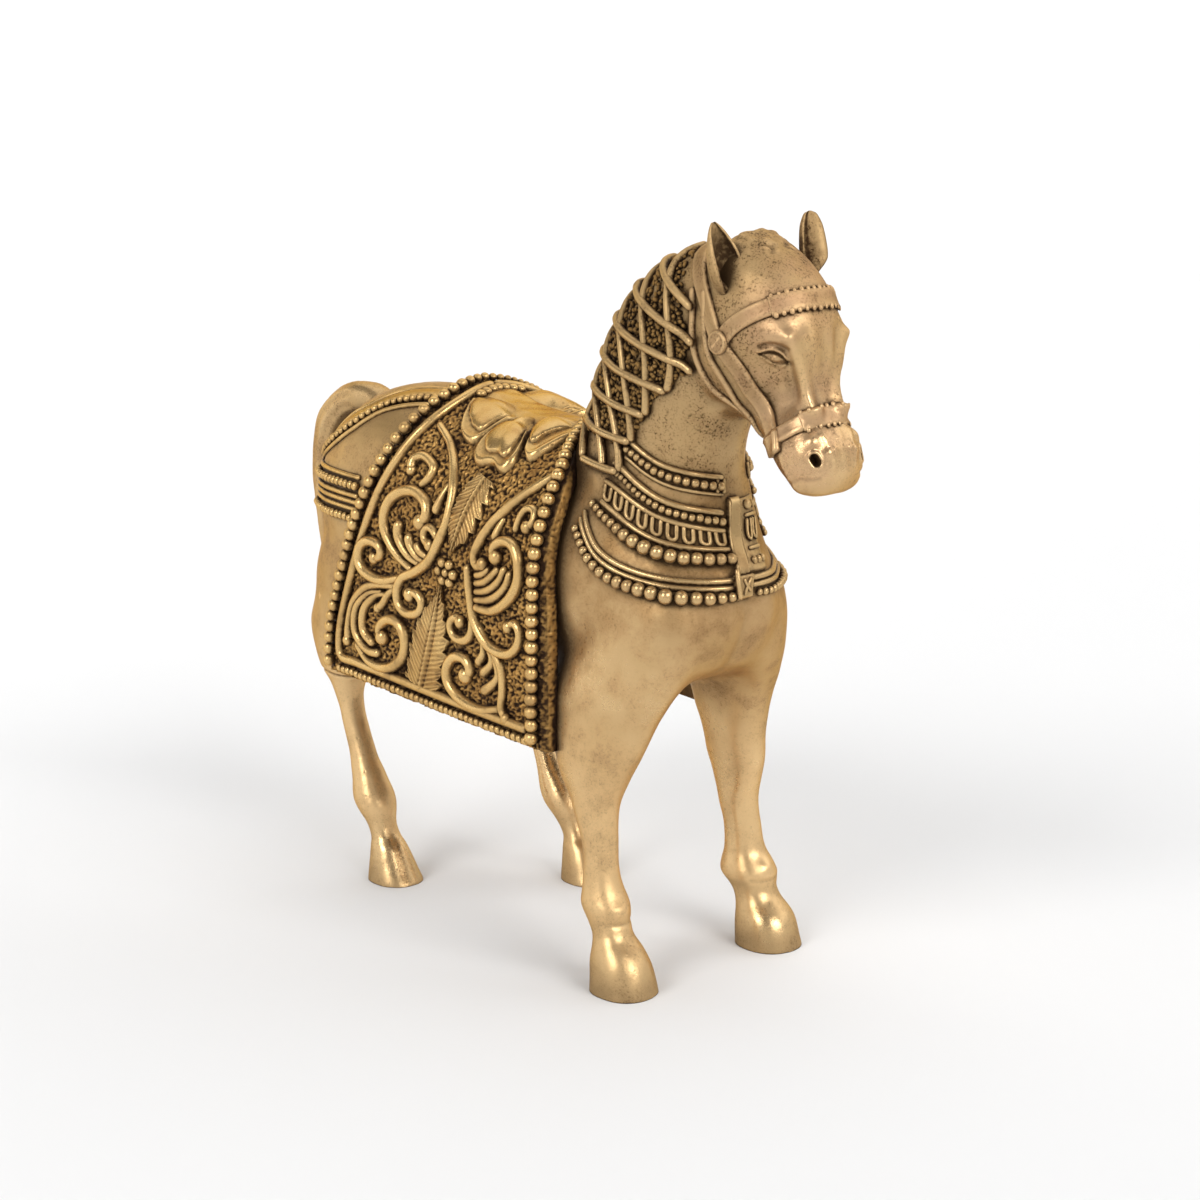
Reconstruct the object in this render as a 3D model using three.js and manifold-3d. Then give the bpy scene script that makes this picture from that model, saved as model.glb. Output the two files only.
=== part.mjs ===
// Brass horse figurine in festival trappings, built as separate solids.
// Working frame: millimetres, x forward, y to the horse's left, z up, hooves on z = 0.
import * as THREE from "three";
import { mergeVertices } from "three/addons/utils/BufferGeometryUtils.js";
import Module from "manifold-3d";

const wasm = await Module();
wasm.setup();

// Driving dimensions in millimetres
const JOINT_GAP = 0.3;
const TRIM_GAP = 0.55;
const CLOTH_GAP = 0.97;
const CLOTH_THICKNESS = 3.2;
const CLOTH_HEM_Z = 50;
const CLOTH_AXIS_Z = 86;
const BEAD_DIAMETER = 2.9;
const BEAD_WIDE_SHARE = 0.56;
const BEAD_NECK_SHARE = 0.24;
const SMALL_BEAD_DIAMETER = 2.4;
const RAIL_DIAMETER = 1.4;
const SCROLL_WIDTH = 2;
const SCROLL_HEIGHT = 1.7;
const NET_CORD_WIDTH = 1.6;
const NET_CORD_HEIGHT = 1.3;
const NET_GAP = 1.35;
const BAND_THICKNESS = 1.2;
const UPPER_BAND_WIDTH = 1.6;
const UPPER_BAND_DROP = 2.7;
const CRUPPER_WIDTH = 3;
const CROUP_RADIUS = 24;
const BRIDLE_STRAP_WIDTH = 3;
const LASH_WIDTH = 2.2;
const ROSETTE_RADIUS = 3.2;
const ROSETTE_RIM = 0.8;
const ROSETTE_HEIGHT = 1;
const LEAF_HEIGHT = 1.6;
const FLOWER_RADIUS = 3.4;
const FLOWER_HEIGHT = 1.2;
const FLOWER_RIM = 0.5;
const PETAL_RIM = 0.9;
const PETAL_HEIGHT = 1.4;
const SEAT_LENGTH = 29;
const SEAT_HALF_WIDTH = 9.5;
const SEAT_HEIGHT = 1.6;
const PLAQUE_HALF_WIDTH = 3.4;
const PLAQUE_HALF_HEIGHT = 1.6;
const PLAQUE_THICKNESS = 1.4;
const PLATE_CROWN = 0.5;
const CLASP_HALF_SIZE = 2.4;
const CLASP_THICKNESS = 1.6;
const CLASP_DROP = 6.6;
const EYE_RADIUS = 2.4;
const NOSTRIL_RADIUS = 1.1;
const NOSTRIL_DEPTH = 2;
const NOSTRIL_INSET = 6;

// Facet counts
const BODY_SIDES = 18;
const LIMB_SIDES = 9;
const BEAD_SIDES = 4;
const CORD_SIDES = 4;

// Torso stations: x, back height, belly height, half width
const TORSO = [
  [-35, 99.5, 78, 7],
  [-33, 103.5, 72, 13],
  [-26.5, 109.8, 65, 18.6],
  [-17, 113, 60, 22],
  [0, 114.2, 58, 23.2],
  [30, 112, 58, 23.2],
  [52, 111.2, 59, 23.2],
  [70, 108.5, 60, 22.6],
  [85, 101.5, 63, 19.2],
  [94, 94.5, 68, 14],
  [98.5, 89.8, 74, 9.2],
  [100, 87, 79, 4.5],
];

// Neck stations: number, crest x and z, throat x and z, half width
const NECK = [
  [0, 45, 98, 92, 70, 16],
  [1, 52, 111.5, 96.4, 86, 16.8],
  [2, 57.2, 120, 94.2, 97, 14.4],
  [3, 61, 128.7, 91.8, 106, 12.8],
  [4, 66.2, 137.6, 91.8, 115, 12.2],
  [5, 74, 145.8, 96.2, 124, 11.8],
  [6, 84.4, 151.8, 102, 132, 11.2],
  [7, 95, 155.2, 108, 139, 10.2],
];

// Head stations from poll to lips: number, face x and z, jaw x and z, half width
const HEAD = [
  [0, 101, 156.6, 92, 152, 6],
  [1, 107.5, 154.2, 88, 142, 10.8],
  [2, 113.6, 149.6, 89, 132.8, 12.2],
  [3, 117.8, 143.6, 91.5, 126.2, 12.4],
  [4, 120, 136, 95.8, 121, 11.2],
  [5, 120, 129, 101, 118.8, 9.5],
  [6, 121.2, 123.5, 106, 116.2, 8.4],
  [7, 124.4, 119, 110.6, 112.9, 8.6],
  [8, 126.4, 113.6, 113.8, 109, 8.3],
  [9, 124.8, 108.6, 117, 106.8, 6.2],
];

// Foreleg stations: height, centre x and y, half length, half width
const FORELEG = [
  [92, 80, 8.5, 9, 6.5],
  [84, 81, 10.6, 13, 9],
  [74, 80.6, 12.6, 14.3, 9.2],
  [64, 77.6, 15.2, 15.4, 8.6],
  [56, 75, 17, 13.6, 7.3],
  [50, 75.2, 18.2, 11.2, 6.5],
  [44, 75, 19, 8.7, 5.7],
  [38.6, 75.2, 19.6, 6.1, 4.9],
  [33.5, 76, 20, 4.7, 4.4],
  [27, 77.1, 20.4, 4.1, 3.9],
  [21.5, 78.2, 20.7, 4.4, 4.2],
  [16.2, 79.2, 20.9, 5.9, 5.4],
  [12, 81.2, 21, 4.7, 4.6],
  [9.4, 82.6, 21, 5.1, 4.9],
  [6.6, 84, 21, 6.2, 5.9],
  [3.5, 84.9, 21, 6.9, 6.4],
  [0, 85.6, 21, 7.4, 6.8],
];

// Hind leg stations: the same, then how far the left leg stands forward of the right
const HINDLEG = [
  [88, -8.6, 10.5, 16.6, 8.5, 0],
  [76, -12.4, 13.2, 17.6, 9.5, 5],
  [64, -16.8, 14.4, 16.2, 8.8, 15],
  [54, -20.2, 15.5, 11.2, 6.9, 24],
  [47.5, -20.5, 16.3, 7.5, 5.4, 26.5],
  [44, -19.6, 16.8, 4.6, 4.1, 27],
  [40, -18.5, 17, 3.6, 3.4, 27],
  [33, -15.8, 17.1, 3.3, 3.2, 27.2],
  [28, -13.4, 17.2, 3.5, 3.4, 27.3],
  [22.8, -10.9, 17.3, 4.3, 4.1, 27.5],
  [17.5, -8.6, 17.4, 5.3, 4.8, 28],
  [12.5, -6, 17.4, 3.8, 3.7, 28.6],
  [9.6, -4.2, 17.4, 3.8, 3.7, 29],
  [7.8, -3.2, 17.4, 4.6, 4.4, 29],
  [0, -1, 17.4, 6.3, 5.8, 29],
];

// Tail stations: centre x and z, radius
const TAIL = [
  [-20, 102, 4],
  [-30, 108, 4.2],
  [-39.5, 108, 4.2],
  [-47, 101.5, 4.4],
  [-49.5, 91, 4.6],
  [-48, 77, 4.6],
  [-45, 63, 3.8],
  [-42, 52, 2],
];

// Ear stations from root to tip: share of length, half breadth, half depth
const EAR = [
  [0, 2.4, 2],
  [0.2, 3.4, 2.4],
  [0.45, 3.9, 2.3],
  [0.7, 2.9, 1.7],
  [0.9, 1.4, 1],
  [1, 0.5, 0.5],
];
// Ear: its root on a head section as shares of the half axes, its length, lean and wall
const EAR_STATION = 1.42;
const EAR_ROOT_SHARES = { up: 0.49, side: 0.88 };
const EAR_LENGTH = 11.7;
const EAR_LEAN = [-0.239, 0.171, 0.956];
const EAR_FACING = [0.8, 0.6];
const EAR_WALL = 0.8;
const EAR_HOLLOW_FROM = 0.2;
const EAR_SIDES = 8;
const EAR_THINNEST = 0.15;

// Cloth edges: share of the drop from the spine to the hem, edge x
const CLOTH_REAR = [
  [0, 11],
  [0.15, 12.5],
  [0.35, 7.5],
  [0.6, -2.5],
  [0.85, -11],
  [1, -12.5],
];
const CLOTH_FRONT = [
  [0, 50],
  [0.12, 58],
  [0.25, 64.5],
  [0.4, 66.5],
  [1, 67.5],
];

// Scrollwork on the cloth: x, and distance down from the spine
const SCROLL_REAR = [
  [[27.2, 25], [33.3, 29], [34, 35.7], [32.9, 39.8], [29.2, 45.9], [23.7, 50.7], [18.9, 53.8],
    [17, 57.6], [17.7, 60.9], [20.6, 62.1], [24.3, 60.4], [25.4, 57.6], [23.4, 56.2]],
  [[23.7, 50.7], [16.1, 48], [12.4, 43.4], [13, 38.8], [16.5, 34.9], [21.5, 33], [26.1, 34.1],
    [27.5, 36.7], [25.3, 39]],
  [[18.9, 53.8], [11.1, 56.8], [5.4, 56.2], [3.4, 53.7], [4.4, 50.4], [7.8, 48.8], [10.6, 50.2], [9.8, 52.6]],
  [[17, 57.6], [6.1, 59.4], [-0.1, 64.7], [-1.4, 70.4], [1, 74.4], [6, 76.7], [12.3, 76.3],
    [17.6, 73.6], [19, 69.1], [17, 65.8], [12.7, 65.8], [9.4, 68.8], [10, 71.6]],
];
const SCROLL_FRONT = [
  [[60.3, 23], [57.8, 25.5], [53, 29.6], [49.6, 33.4], [46.7, 37.7], [44, 42], [43, 48.6], [43.9, 53.4],
    [44.7, 56.6], [47.3, 60.5], [50.8, 62.7], [56, 62.8], [59.3, 59.9], [60, 56.5], [57.8, 55]],
  [[43.9, 53.4], [50.9, 53.3], [57, 48.9], [59.8, 43.6], [59.4, 39.4], [56.8, 36.9], [53.4, 37],
    [51, 38.9], [51.6, 41.2]],
  [[44.7, 56.6], [43.4, 60.9], [41, 62.8], [38, 62.6], [36.6, 60], [38.4, 57.7]],
  [[47.3, 60.5], [51.6, 64.6], [53.8, 68], [54, 72.5], [51.5, 76], [46.9, 76.8], [40.2, 76.6],
    [36.4, 74.8], [35.4, 71.5], [37.4, 68.4], [41.6, 67.6], [43.8, 69.5], [42.4, 72.4]],
];

// Leaves and flower on the cloth: root, tip and half width; centre
const LEAF_UPPER = { root: [41.5, 29.5], tip: [37.4, 46], half: 3.4 };
const LEAF_LOWER = { root: [26, 77], tip: [31.6, 56.8], half: 4.4 };
const FLOWER_CENTRE = [34.6, 51];

// Insets of the borders, and the drop from the spine to the hem in the drawing above
const beadInset = BEAD_DIAMETER / 2;
const railInset = BEAD_DIAMETER + JOINT_GAP + RAIL_DIAMETER;
const hemMargin = railInset + (RAIL_DIAMETER + SCROLL_WIDTH) / 2 + 2 * JOINT_GAP;
const drawnDrops = [...SCROLL_REAR, ...SCROLL_FRONT].flat().map(([, drop]) => drop);
const drawnHem = Math.max(...drawnDrops, LEAF_LOWER.root[1]) + hemMargin;

// Saddle petals: centre x and distance down, half length, half drop
const PETALS = [
  ["rear", 28, 16.6, 6.4, 5.4],
  ["mid", 42, 19.2, 6.6, 7],
  ["front", 54.4, 17.4, 4.6, 5.6],
];
const SEAT_CENTRE_X = 30.5;

// Collars round the neck: height at angles from the front, seen from COLLAR_AXIS_X
const COLLAR_AXIS_X = 75;
const COLLAR_ANGLES = [0, 45, 85, 110];
const UPPER_COLLAR = [105, 110.3, 113.4, 113.8];
const MID_COLLAR_TOP = [97.8, 103, 107.4, 108.6];
const MID_COLLAR_BASE = [90.6, 92.2, 97.6, 101.8];
const BREAST_COLLAR = [86.4, 87, 91, 99.2];
const COLLAR_END_ANGLE = 104;

// Net over the mane: neck stations of the falling cords at the crest, how far they run ahead for each
// degree round the neck, and the turn from knot to knot, which eases downward and grows ahead
const NET_FIRST = 2.25;
const NET_STEP = 0.79;
const NET_CORDS = 5;
const NET_RUN = 0.0115;
const NET_RUN_EASE = 0.001;
const NET_TURN = 42;
const NET_TURN_EASE = 4.7;
const NET_TURN_GROWTH = 0.11;
const NET_EVEN_STRAND = 2;
const NET_DEEPEST = 4;
const NET_CORNER = 6;

// Straps of the head: axis point and the direction in which each loop starts
const ROSETTE_AT = [103.5, 137];
const BROW_TOWARD = [0.88, 0.47];
const CROWN_TOWARD = [-0.47, 0.88];
const NOSEBAND_AT = [113.5, 117.8];
const NOSEBAND_TOWARD = [0.89, 0.45];
const LASH_AT = [98.8, 136];
const LASH_TOWARD = [-0.2, 0.98];
const LASH_START_ANGLE = 72;

// Rump trappings: breeching heights, and the crupper's x with its angle from the spine
const BREECHING_AXIS_X = -4.5;
const BREECHING_BAND_WIDTH = 3.2;
const BREECHING_TOP_Z = 93.6;
const BREECHING_BASE_Z = 86.2;
const CRUPPER = [
  [7, 10],
  [-6, 20],
  [-14, 32],
  [-22, 41],
  [-29, 46],
];

const EYE_AT = [114.6, 10, 134.6];
const NOSTRIL_AT = [124.6, 5.6, 115.4];

const SIDES = [[-1, "right"], [1, "left"]];
const FAR = 400;
const radians = THREE.MathUtils.degToRad;
const vec = (x, y, z) => new THREE.Vector3(x, y, z);

// Reads a table of stations smoothly between its rows
function smoothTable(rows) {
  const keys = rows.map((row) => row[0]);
  const values = rows.flatMap((row) => row.slice(1));
  const curve = new THREE.CubicInterpolant(keys, values, rows[0].length - 1);
  return (key) => Array.from(curve.evaluate(key));
}

function signedVolume(position, index) {
  const corner = (i) => vec().fromArray(position, 3 * i);
  let volume = 0;
  for (let i = 0; i < index.length; i += 3) {
    volume += corner(index[i]).dot(corner(index[i + 1]).cross(corner(index[i + 2])));
  }
  return volume;
}

// Closed solid through rings of equal point count: a loop of rings, or capped at both ends
function loft(rings, looped = false) {
  const sides = rings[0].length;
  const count = rings.length;
  const position = rings.flat().flatMap((p) => [p.x, p.y, p.z]);
  const index = [];
  for (let ring = 0; ring < (looped ? count : count - 1); ring += 1) {
    const here = ring * sides;
    const next = ((ring + 1) % count) * sides;
    for (let side = 0; side < sides; side += 1) {
      const beside = (side + 1) % sides;
      index.push(here + side, here + beside, next + beside);
      index.push(here + side, next + beside, next + side);
    }
  }
  const last = (count - 1) * sides;
  for (let side = 1; !looped && side + 1 < sides; side += 1) {
    index.push(0, side + 1, side, last, last + side, last + side + 1);
  }
  return closedSolid(position, index);
}

// Solid from points and triangles, turned right side out
function closedSolid(position, index) {
  const geometry = new THREE.BufferGeometry();
  geometry.setAttribute("position", new THREE.Float32BufferAttribute(position, 3));
  geometry.setIndex(signedVolume(position, index) < 0 ? index.reverse() : index);
  return toManifold(geometry);
}

function toManifold(geometry) {
  geometry.deleteAttribute("normal");
  geometry.deleteAttribute("uv");
  const clean = mergeVertices(geometry, 1e-5);
  const vertProperties = new Float32Array(clean.attributes.position.array);
  const triVerts = new Uint32Array(clean.index.array);
  return new wasm.Manifold(new wasm.Mesh({ numProp: 3, vertProperties, triVerts }));
}

function toGeometry(solid) {
  const mesh = solid.getMesh();
  const geometry = new THREE.BufferGeometry();
  geometry.setAttribute("position", new THREE.BufferAttribute(new Float32Array(mesh.vertProperties), 3));
  geometry.setIndex(new THREE.BufferAttribute(new Uint32Array(mesh.triVerts), 1));
  geometry.computeVertexNormals();
  return geometry;
}

// Rounded ring from a centre and two half axes
function ringOf(centre, across, up, sides, power = 2.2) {
  const points = [];
  const bend = (value) => Math.sign(value) * Math.abs(value) ** (2 / power);
  for (let side = 0; side < sides; side += 1) {
    const angle = (2 * Math.PI * (side + 0.5)) / sides;
    const point = centre.clone().addScaledVector(across, bend(Math.cos(angle)));
    points.push(point.addScaledVector(up, bend(Math.sin(angle))));
  }
  return points;
}

// Body lofts, each grown outward by a margin so that a neighbour can be cut clear of it
function profileLoft(rows, steps, grow) {
  const read = smoothTable(rows);
  const first = rows[0][0];
  const last = rows[rows.length - 1][0];
  const rings = [];
  for (let step = 0; step <= steps; step += 1) {
    const [upperX, upperZ, lowerX, lowerZ, half] = read(first + ((last - first) * step) / steps);
    const upper = vec(upperX, 0, upperZ);
    const centre = upper.clone().lerp(vec(lowerX, 0, lowerZ), 0.5);
    const up = upper.sub(centre);
    up.setLength(up.length() + grow);
    rings.push(ringOf(centre, vec(0, half + grow, 0), up, BODY_SIDES));
  }
  return loft(rings);
}

function torsoSolid(grow) {
  const rows = TORSO.map(([x, top, belly, half]) => [x, x, top, x, belly, half]);
  rows[0][1] -= grow;
  rows[0][3] -= grow;
  rows[rows.length - 1][1] += grow;
  rows[rows.length - 1][3] += grow;
  return profileLoft(rows, 22, grow);
}

function legSolid(rows, side) {
  const rings = rows.map(([z, x, y, length, width, step = 0]) => {
    const shift = side > 0 ? step : 0;
    return ringOf(vec(x + shift, side * y, z), vec(length, 0, 0), vec(0, width, 0), LIMB_SIDES);
  });
  return loft(rings);
}

function tailSolid() {
  const line = new THREE.CatmullRomCurve3(TAIL.map(([x, z]) => vec(x, 0, z)));
  const rings = TAIL.map(([x, z, radius], i) => {
    const along = line.getTangent(i / (TAIL.length - 1));
    const up = vec(0, 1, 0).cross(along).setLength(radius);
    return ringOf(vec(x, 0, z), vec(0, radius, 0), up, LIMB_SIDES);
  });
  return loft(rings);
}

// Ear: a leaf-shaped cone, hollowed on the side that faces ahead and outward
function earSolid(side) {
  const [faceX, faceZ, jawX, jawZ, half] = smoothTable(HEAD)(EAR_STATION);
  const face = vec(faceX, 0, faceZ);
  const root = face.clone().lerp(vec(jawX, 0, jawZ), (1 - EAR_ROOT_SHARES.up) / 2);
  root.setY(side * half * EAR_ROOT_SHARES.side);
  const along = vec(EAR_LEAN[0], side * EAR_LEAN[1], EAR_LEAN[2]).setLength(EAR_LENGTH);
  const facing = vec(EAR_FACING[0], side * EAR_FACING[1], 0);
  const across = along.clone().cross(facing).normalize();
  const depth = across.clone().cross(along).normalize();
  const rings = (from, wall, forward) => {
    const stations = EAR.filter(([share]) => share >= from);
    return stations.map(([share, breadth, thick]) => {
      const centre = root.clone().addScaledVector(along, share).addScaledVector(depth, forward);
      const halfBreadth = across.clone().multiplyScalar(Math.max(breadth - wall, EAR_THINNEST));
      const halfDepth = depth.clone().multiplyScalar(Math.max(thick - wall / 2, EAR_THINNEST));
      return ringOf(centre, halfBreadth, halfDepth, EAR_SIDES);
    });
  };
  const facesOut = depth.dot(facing) > 0 ? 1 : -1;
  const hollow = loft(rings(EAR_HOLLOW_FROM, EAR_WALL, facesOut * EAR_WALL * 1.6));
  return loft(rings(0, 0, 0)).subtract(hollow);
}

// Surface places: a point on a mesh with its outward normal, found from outside along a line
function surfaceFinder(solid) {
  const mesh = new THREE.Mesh(toGeometry(solid), new THREE.MeshBasicMaterial());
  const caster = new THREE.Raycaster();
  return (centre, outward) => {
    const away = outward.clone().normalize();
    caster.set(centre.clone().addScaledVector(away, FAR), away.clone().negate());
    const [hit] = caster.intersectObject(mesh);
    return { point: hit.point, normal: hit.normal.clone().normalize() };
  };
}

// A route is a line of surface places that can be read at any share of its length
function makeRoute(places, looped = false) {
  const line = new THREE.CatmullRomCurve3(places.map((place) => place.point), looped);
  const lean = new THREE.CatmullRomCurve3(places.map((place) => place.normal), looped);
  const at = (share) => {
    const t = line.getUtoTmapping(share);
    const along = line.getTangent(t);
    const across = along.clone().cross(lean.getPoint(t)).normalize();
    return { point: line.getPoint(t), across, normal: across.clone().cross(along).normalize() };
  };
  return { at, length: line.getLength(), looped };
}

// Sweeps a section, given as pairs of across and lift, along a route
function sweep(route, steps, section) {
  const rings = [];
  for (let step = 0; step < (route.looped ? steps : steps + 1); step += 1) {
    const { point, across, normal } = route.at(step / steps);
    const pairs = section(step, step / steps);
    rings.push(pairs.map(([a, b]) => point.clone().addScaledVector(across, a).addScaledVector(normal, b)));
  }
  return loft(rings, route.looped);
}

function roundSection(radius, lift, sides) {
  const pairs = [];
  for (let side = 0; side < sides; side += 1) {
    const angle = (2 * Math.PI * (side + 0.5)) / sides;
    pairs.push([radius * Math.cos(angle), lift + radius * Math.sin(angle)]);
  }
  return pairs;
}

const stepsFor = (route, stride) => Math.max(3, Math.round(route.length / stride));

function cord(route, diameter, stride) {
  const section = roundSection(diameter / 2, TRIM_GAP + diameter / 2, CORD_SIDES);
  return sweep(route, stepsFor(route, stride), () => section);
}

// Rounded-off relief line with a flat base
function ridge(route) {
  const half = SCROLL_WIDTH / 2;
  const section = [[-half, TRIM_GAP], [half, TRIM_GAP], [0, TRIM_GAP + SCROLL_HEIGHT]];
  return sweep(route, stepsFor(route, 3), () => section);
}

function strap(route, width, thickness, stride) {
  const top = TRIM_GAP + thickness;
  const section = [[-width / 2, TRIM_GAP], [width / 2, TRIM_GAP], [width / 2, top], [-width / 2, top]];
  return sweep(route, stepsFor(route, stride), () => section);
}

// Touching beads on a thread
function beadStrand(route, diameter) {
  const beads = Math.max(2, Math.round(route.length / diameter));
  const lift = TRIM_GAP + diameter / 2;
  const wide = roundSection(diameter * BEAD_WIDE_SHARE, lift, BEAD_SIDES);
  const neck = roundSection(diameter * BEAD_NECK_SHARE, lift, BEAD_SIDES);
  return sweep(route, 2 * beads, (step) => (step % 2 ? wide : neck));
}

// Band between several routes that run side by side
function ribbon(routes, thickness, stride) {
  const steps = stepsFor(routes[0], stride);
  const rings = [];
  for (let step = 0; step <= steps; step += 1) {
    const places = routes.map((route) => route.at(step / steps));
    const lifted = (lift) => places.map(({ point, normal }) => point.clone().addScaledVector(normal, lift));
    rings.push([...lifted(TRIM_GAP), ...lifted(TRIM_GAP + thickness).reverse()]);
  }
  return loft(rings);
}

// Raised boss on a surface: outline gives the two local coordinates at each angle
function boss(place, outline, sides, rim, height) {
  const ring = (share, lift) => {
    const points = [];
    for (let side = 0; side < sides; side += 1) {
      const [a, b] = outline((2 * Math.PI * side) / sides);
      points.push(place(a * share, b * share, TRIM_GAP + lift));
    }
    return points;
  };
  const base = [ring(0.08, 0), ring(0.6, 0), ring(1, 0)];
  const crown = [ring(1, rim), ring(0.6, rim + 0.75 * height), ring(0.08, rim + height)];
  return loft([...base, ...crown]);
}

// Places a boss flat on one surface place
function flatPlace({ point, normal }, alongDirection) {
  const across = alongDirection.clone().cross(normal).normalize();
  const along = normal.clone().cross(across).normalize();
  return (a, b, lift) => {
    const spot = point.clone().addScaledVector(across, a);
    return spot.addScaledVector(along, b).addScaledVector(normal, lift);
  };
}

const group = new THREE.Group();
const finish = (color, roughness) => new THREE.MeshStandardMaterial({ color, roughness, metalness: 1 });
const bodyBrass = finish(0xb39258, 0.42);
const clothBrass = finish(0x6f5428, 0.55);
const ornamentBrass = finish(0xc49a45, 0.34);
const bridleBrass = finish(0xa98650, 0.4);

function add(name, solid, material) {
  const mesh = new THREE.Mesh(toGeometry(solid), material);
  mesh.name = name;
  group.add(mesh);
}

// Body shells used as formers and cutters
const torso = torsoSolid(0);
const torsoCut = torsoSolid(JOINT_GAP);
const neckWhole = profileLoft(NECK, 12, 0);
const headWhole = profileLoft(HEAD, 12, 0);
const onTorso = surfaceFinder(torso);
const onHead = surfaceFinder(headWhole);
const shoulders = legSolid(FORELEG, -1).add(legSolid(FORELEG, 1));
const onHorse = surfaceFinder(torso.add(neckWhole).add(headWhole).add(shoulders));

// Cloth: laid over the torso to its widest place, then hanging straight to the hem
const clothRear = smoothTable(CLOTH_REAR);
const clothFront = smoothTable(CLOTH_FRONT);
const clothProfiles = new Map();

function clothProfile(x) {
  const key = x.toFixed(2);
  if (!clothProfiles.has(key)) {
    const places = [90, 75, 60, 45, 30, 15, 0].map((angle) => {
      const outward = vec(0, Math.cos(radians(angle)), Math.sin(radians(angle)));
      const { point, normal } = onTorso(vec(x, 0, CLOTH_AXIS_Z), outward);
      normal.setX(0).normalize();
      return { point: point.addScaledVector(normal, CLOTH_GAP), normal };
    });
    const side = places[places.length - 1].point;
    for (const share of [0.35, 0.7, 1]) {
      const z = side.z + (CLOTH_HEM_Z - side.z) * share;
      places.push({ point: vec(x, side.y, z), normal: vec(0, 1, 0) });
    }
    clothProfiles.set(key, makeRoute(places));
  }
  return clothProfiles.get(key);
}

// Place on the cloth at x and a share of the drop on one side
function clothPlace(x, share, side, lift) {
  const { point, normal } = clothProfile(x).at(Math.min(share, 1));
  point.addScaledVector(normal, lift);
  const mirror = vec(1, side, 1);
  return { point: point.multiply(mirror), normal: normal.multiply(mirror) };
}

function clothSolid(lift, thickness, grow) {
  const rows = 12;
  const columns = 6;
  const rings = [];
  for (let row = -rows; row <= rows; row += 1) {
    const share = Math.abs(row) / rows;
    const side = row < 0 ? -1 : 1;
    const rear = clothRear(share)[0] - grow;
    const front = clothFront(share)[0] + grow;
    const line = (height) => {
      const points = [];
      for (let column = 0; column <= columns; column += 1) {
        const x = rear + ((front - rear) * column) / columns;
        const { point } = clothPlace(x, share, side, height);
        points.push(share === 1 ? point.setZ(point.z - grow) : point);
      }
      return points;
    };
    rings.push([...line(lift), ...line(lift + thickness).reverse()]);
  }
  return loft(rings);
}

const cloth = clothSolid(0, CLOTH_THICKNESS, 0).subtract(torsoCut);
const clothCut = clothSolid(-JOINT_GAP, CLOTH_THICKNESS + 2 * JOINT_GAP, JOINT_GAP);

// Routes on the cloth's outer face
const onCloth = (x, drop, side) => clothPlace(x, drop / drawnHem, side, CLOTH_THICKNESS);

function clothRoute(points, side, stride) {
  const line = new THREE.CatmullRomCurve3(points.map(([x, drop]) => vec(x, drop, 0)));
  const steps = Math.max(3, Math.round(line.getLength() / stride));
  return makeRoute(line.getSpacedPoints(steps).map((p) => onCloth(p.x, p.y, side)));
}

function edgeRoute(edge, inset) {
  const places = [];
  for (let row = -14; row <= 14; row += 1) {
    const share = (Math.abs(row) / 14) * (1 - BEAD_DIAMETER / 2 / drawnHem);
    places.push(clothPlace(edge(share)[0] + inset, share, row < 0 ? -1 : 1, CLOTH_THICKNESS));
  }
  return makeRoute(places);
}

// Body
const neckCut = profileLoft(NECK, 12, JOINT_GAP);
const headCut = profileLoft(HEAD, 12, JOINT_GAP);
add("torso", torso, bodyBrass);
add("neck", neckWhole.subtract(torsoCut).subtract(clothCut), bodyBrass);

function ball(centre, radius, flatten) {
  const geometry = new THREE.SphereGeometry(radius, 10, 7);
  geometry.scale(1, flatten, 0.7);
  geometry.translate(centre.x, centre.y, centre.z);
  return toManifold(geometry);
}

function nostrilCutter(side) {
  const centre = vec(NOSTRIL_AT[0] - NOSTRIL_INSET, 0, NOSTRIL_AT[2]);
  const { point, normal } = onHorse(centre, vec(NOSTRIL_INSET, side * NOSTRIL_AT[1], 0));
  const geometry = new THREE.CylinderGeometry(NOSTRIL_RADIUS, NOSTRIL_RADIUS * 0.6, 2 * NOSTRIL_DEPTH, 8);
  geometry.applyQuaternion(new THREE.Quaternion().setFromUnitVectors(vec(0, 1, 0), normal));
  geometry.translate(point.x, point.y, point.z);
  return toManifold(geometry);
}

let head = headWhole.subtract(neckCut).subtract(torsoCut);
for (const [side] of SIDES) {
  const { point } = onHorse(vec(EYE_AT[0], 0, EYE_AT[2]), vec(0, side, 0));
  head = head.add(ball(point, EYE_RADIUS, 0.45)).subtract(nostrilCutter(side));
}
add("head", head, bodyBrass);

for (const [side, word] of SIDES) {
  add("ear_" + word, earSolid(side).subtract(headCut).subtract(neckCut), bodyBrass);
  add("leg_fore_" + word, legSolid(FORELEG, side).subtract(torsoCut).subtract(clothCut), bodyBrass);
  add("leg_hind_" + word, legSolid(HINDLEG, side).subtract(torsoCut).subtract(clothCut), bodyBrass);
}
add("tail", tailSolid().subtract(torsoCut), bodyBrass);

// Saddle cloth with its borders
add("saddle_cloth", cloth, clothBrass);
add("cloth_beads_rear", beadStrand(edgeRoute(clothRear, beadInset), BEAD_DIAMETER), ornamentBrass);
add("cloth_beads_front", beadStrand(edgeRoute(clothFront, -beadInset), BEAD_DIAMETER), ornamentBrass);

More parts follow.
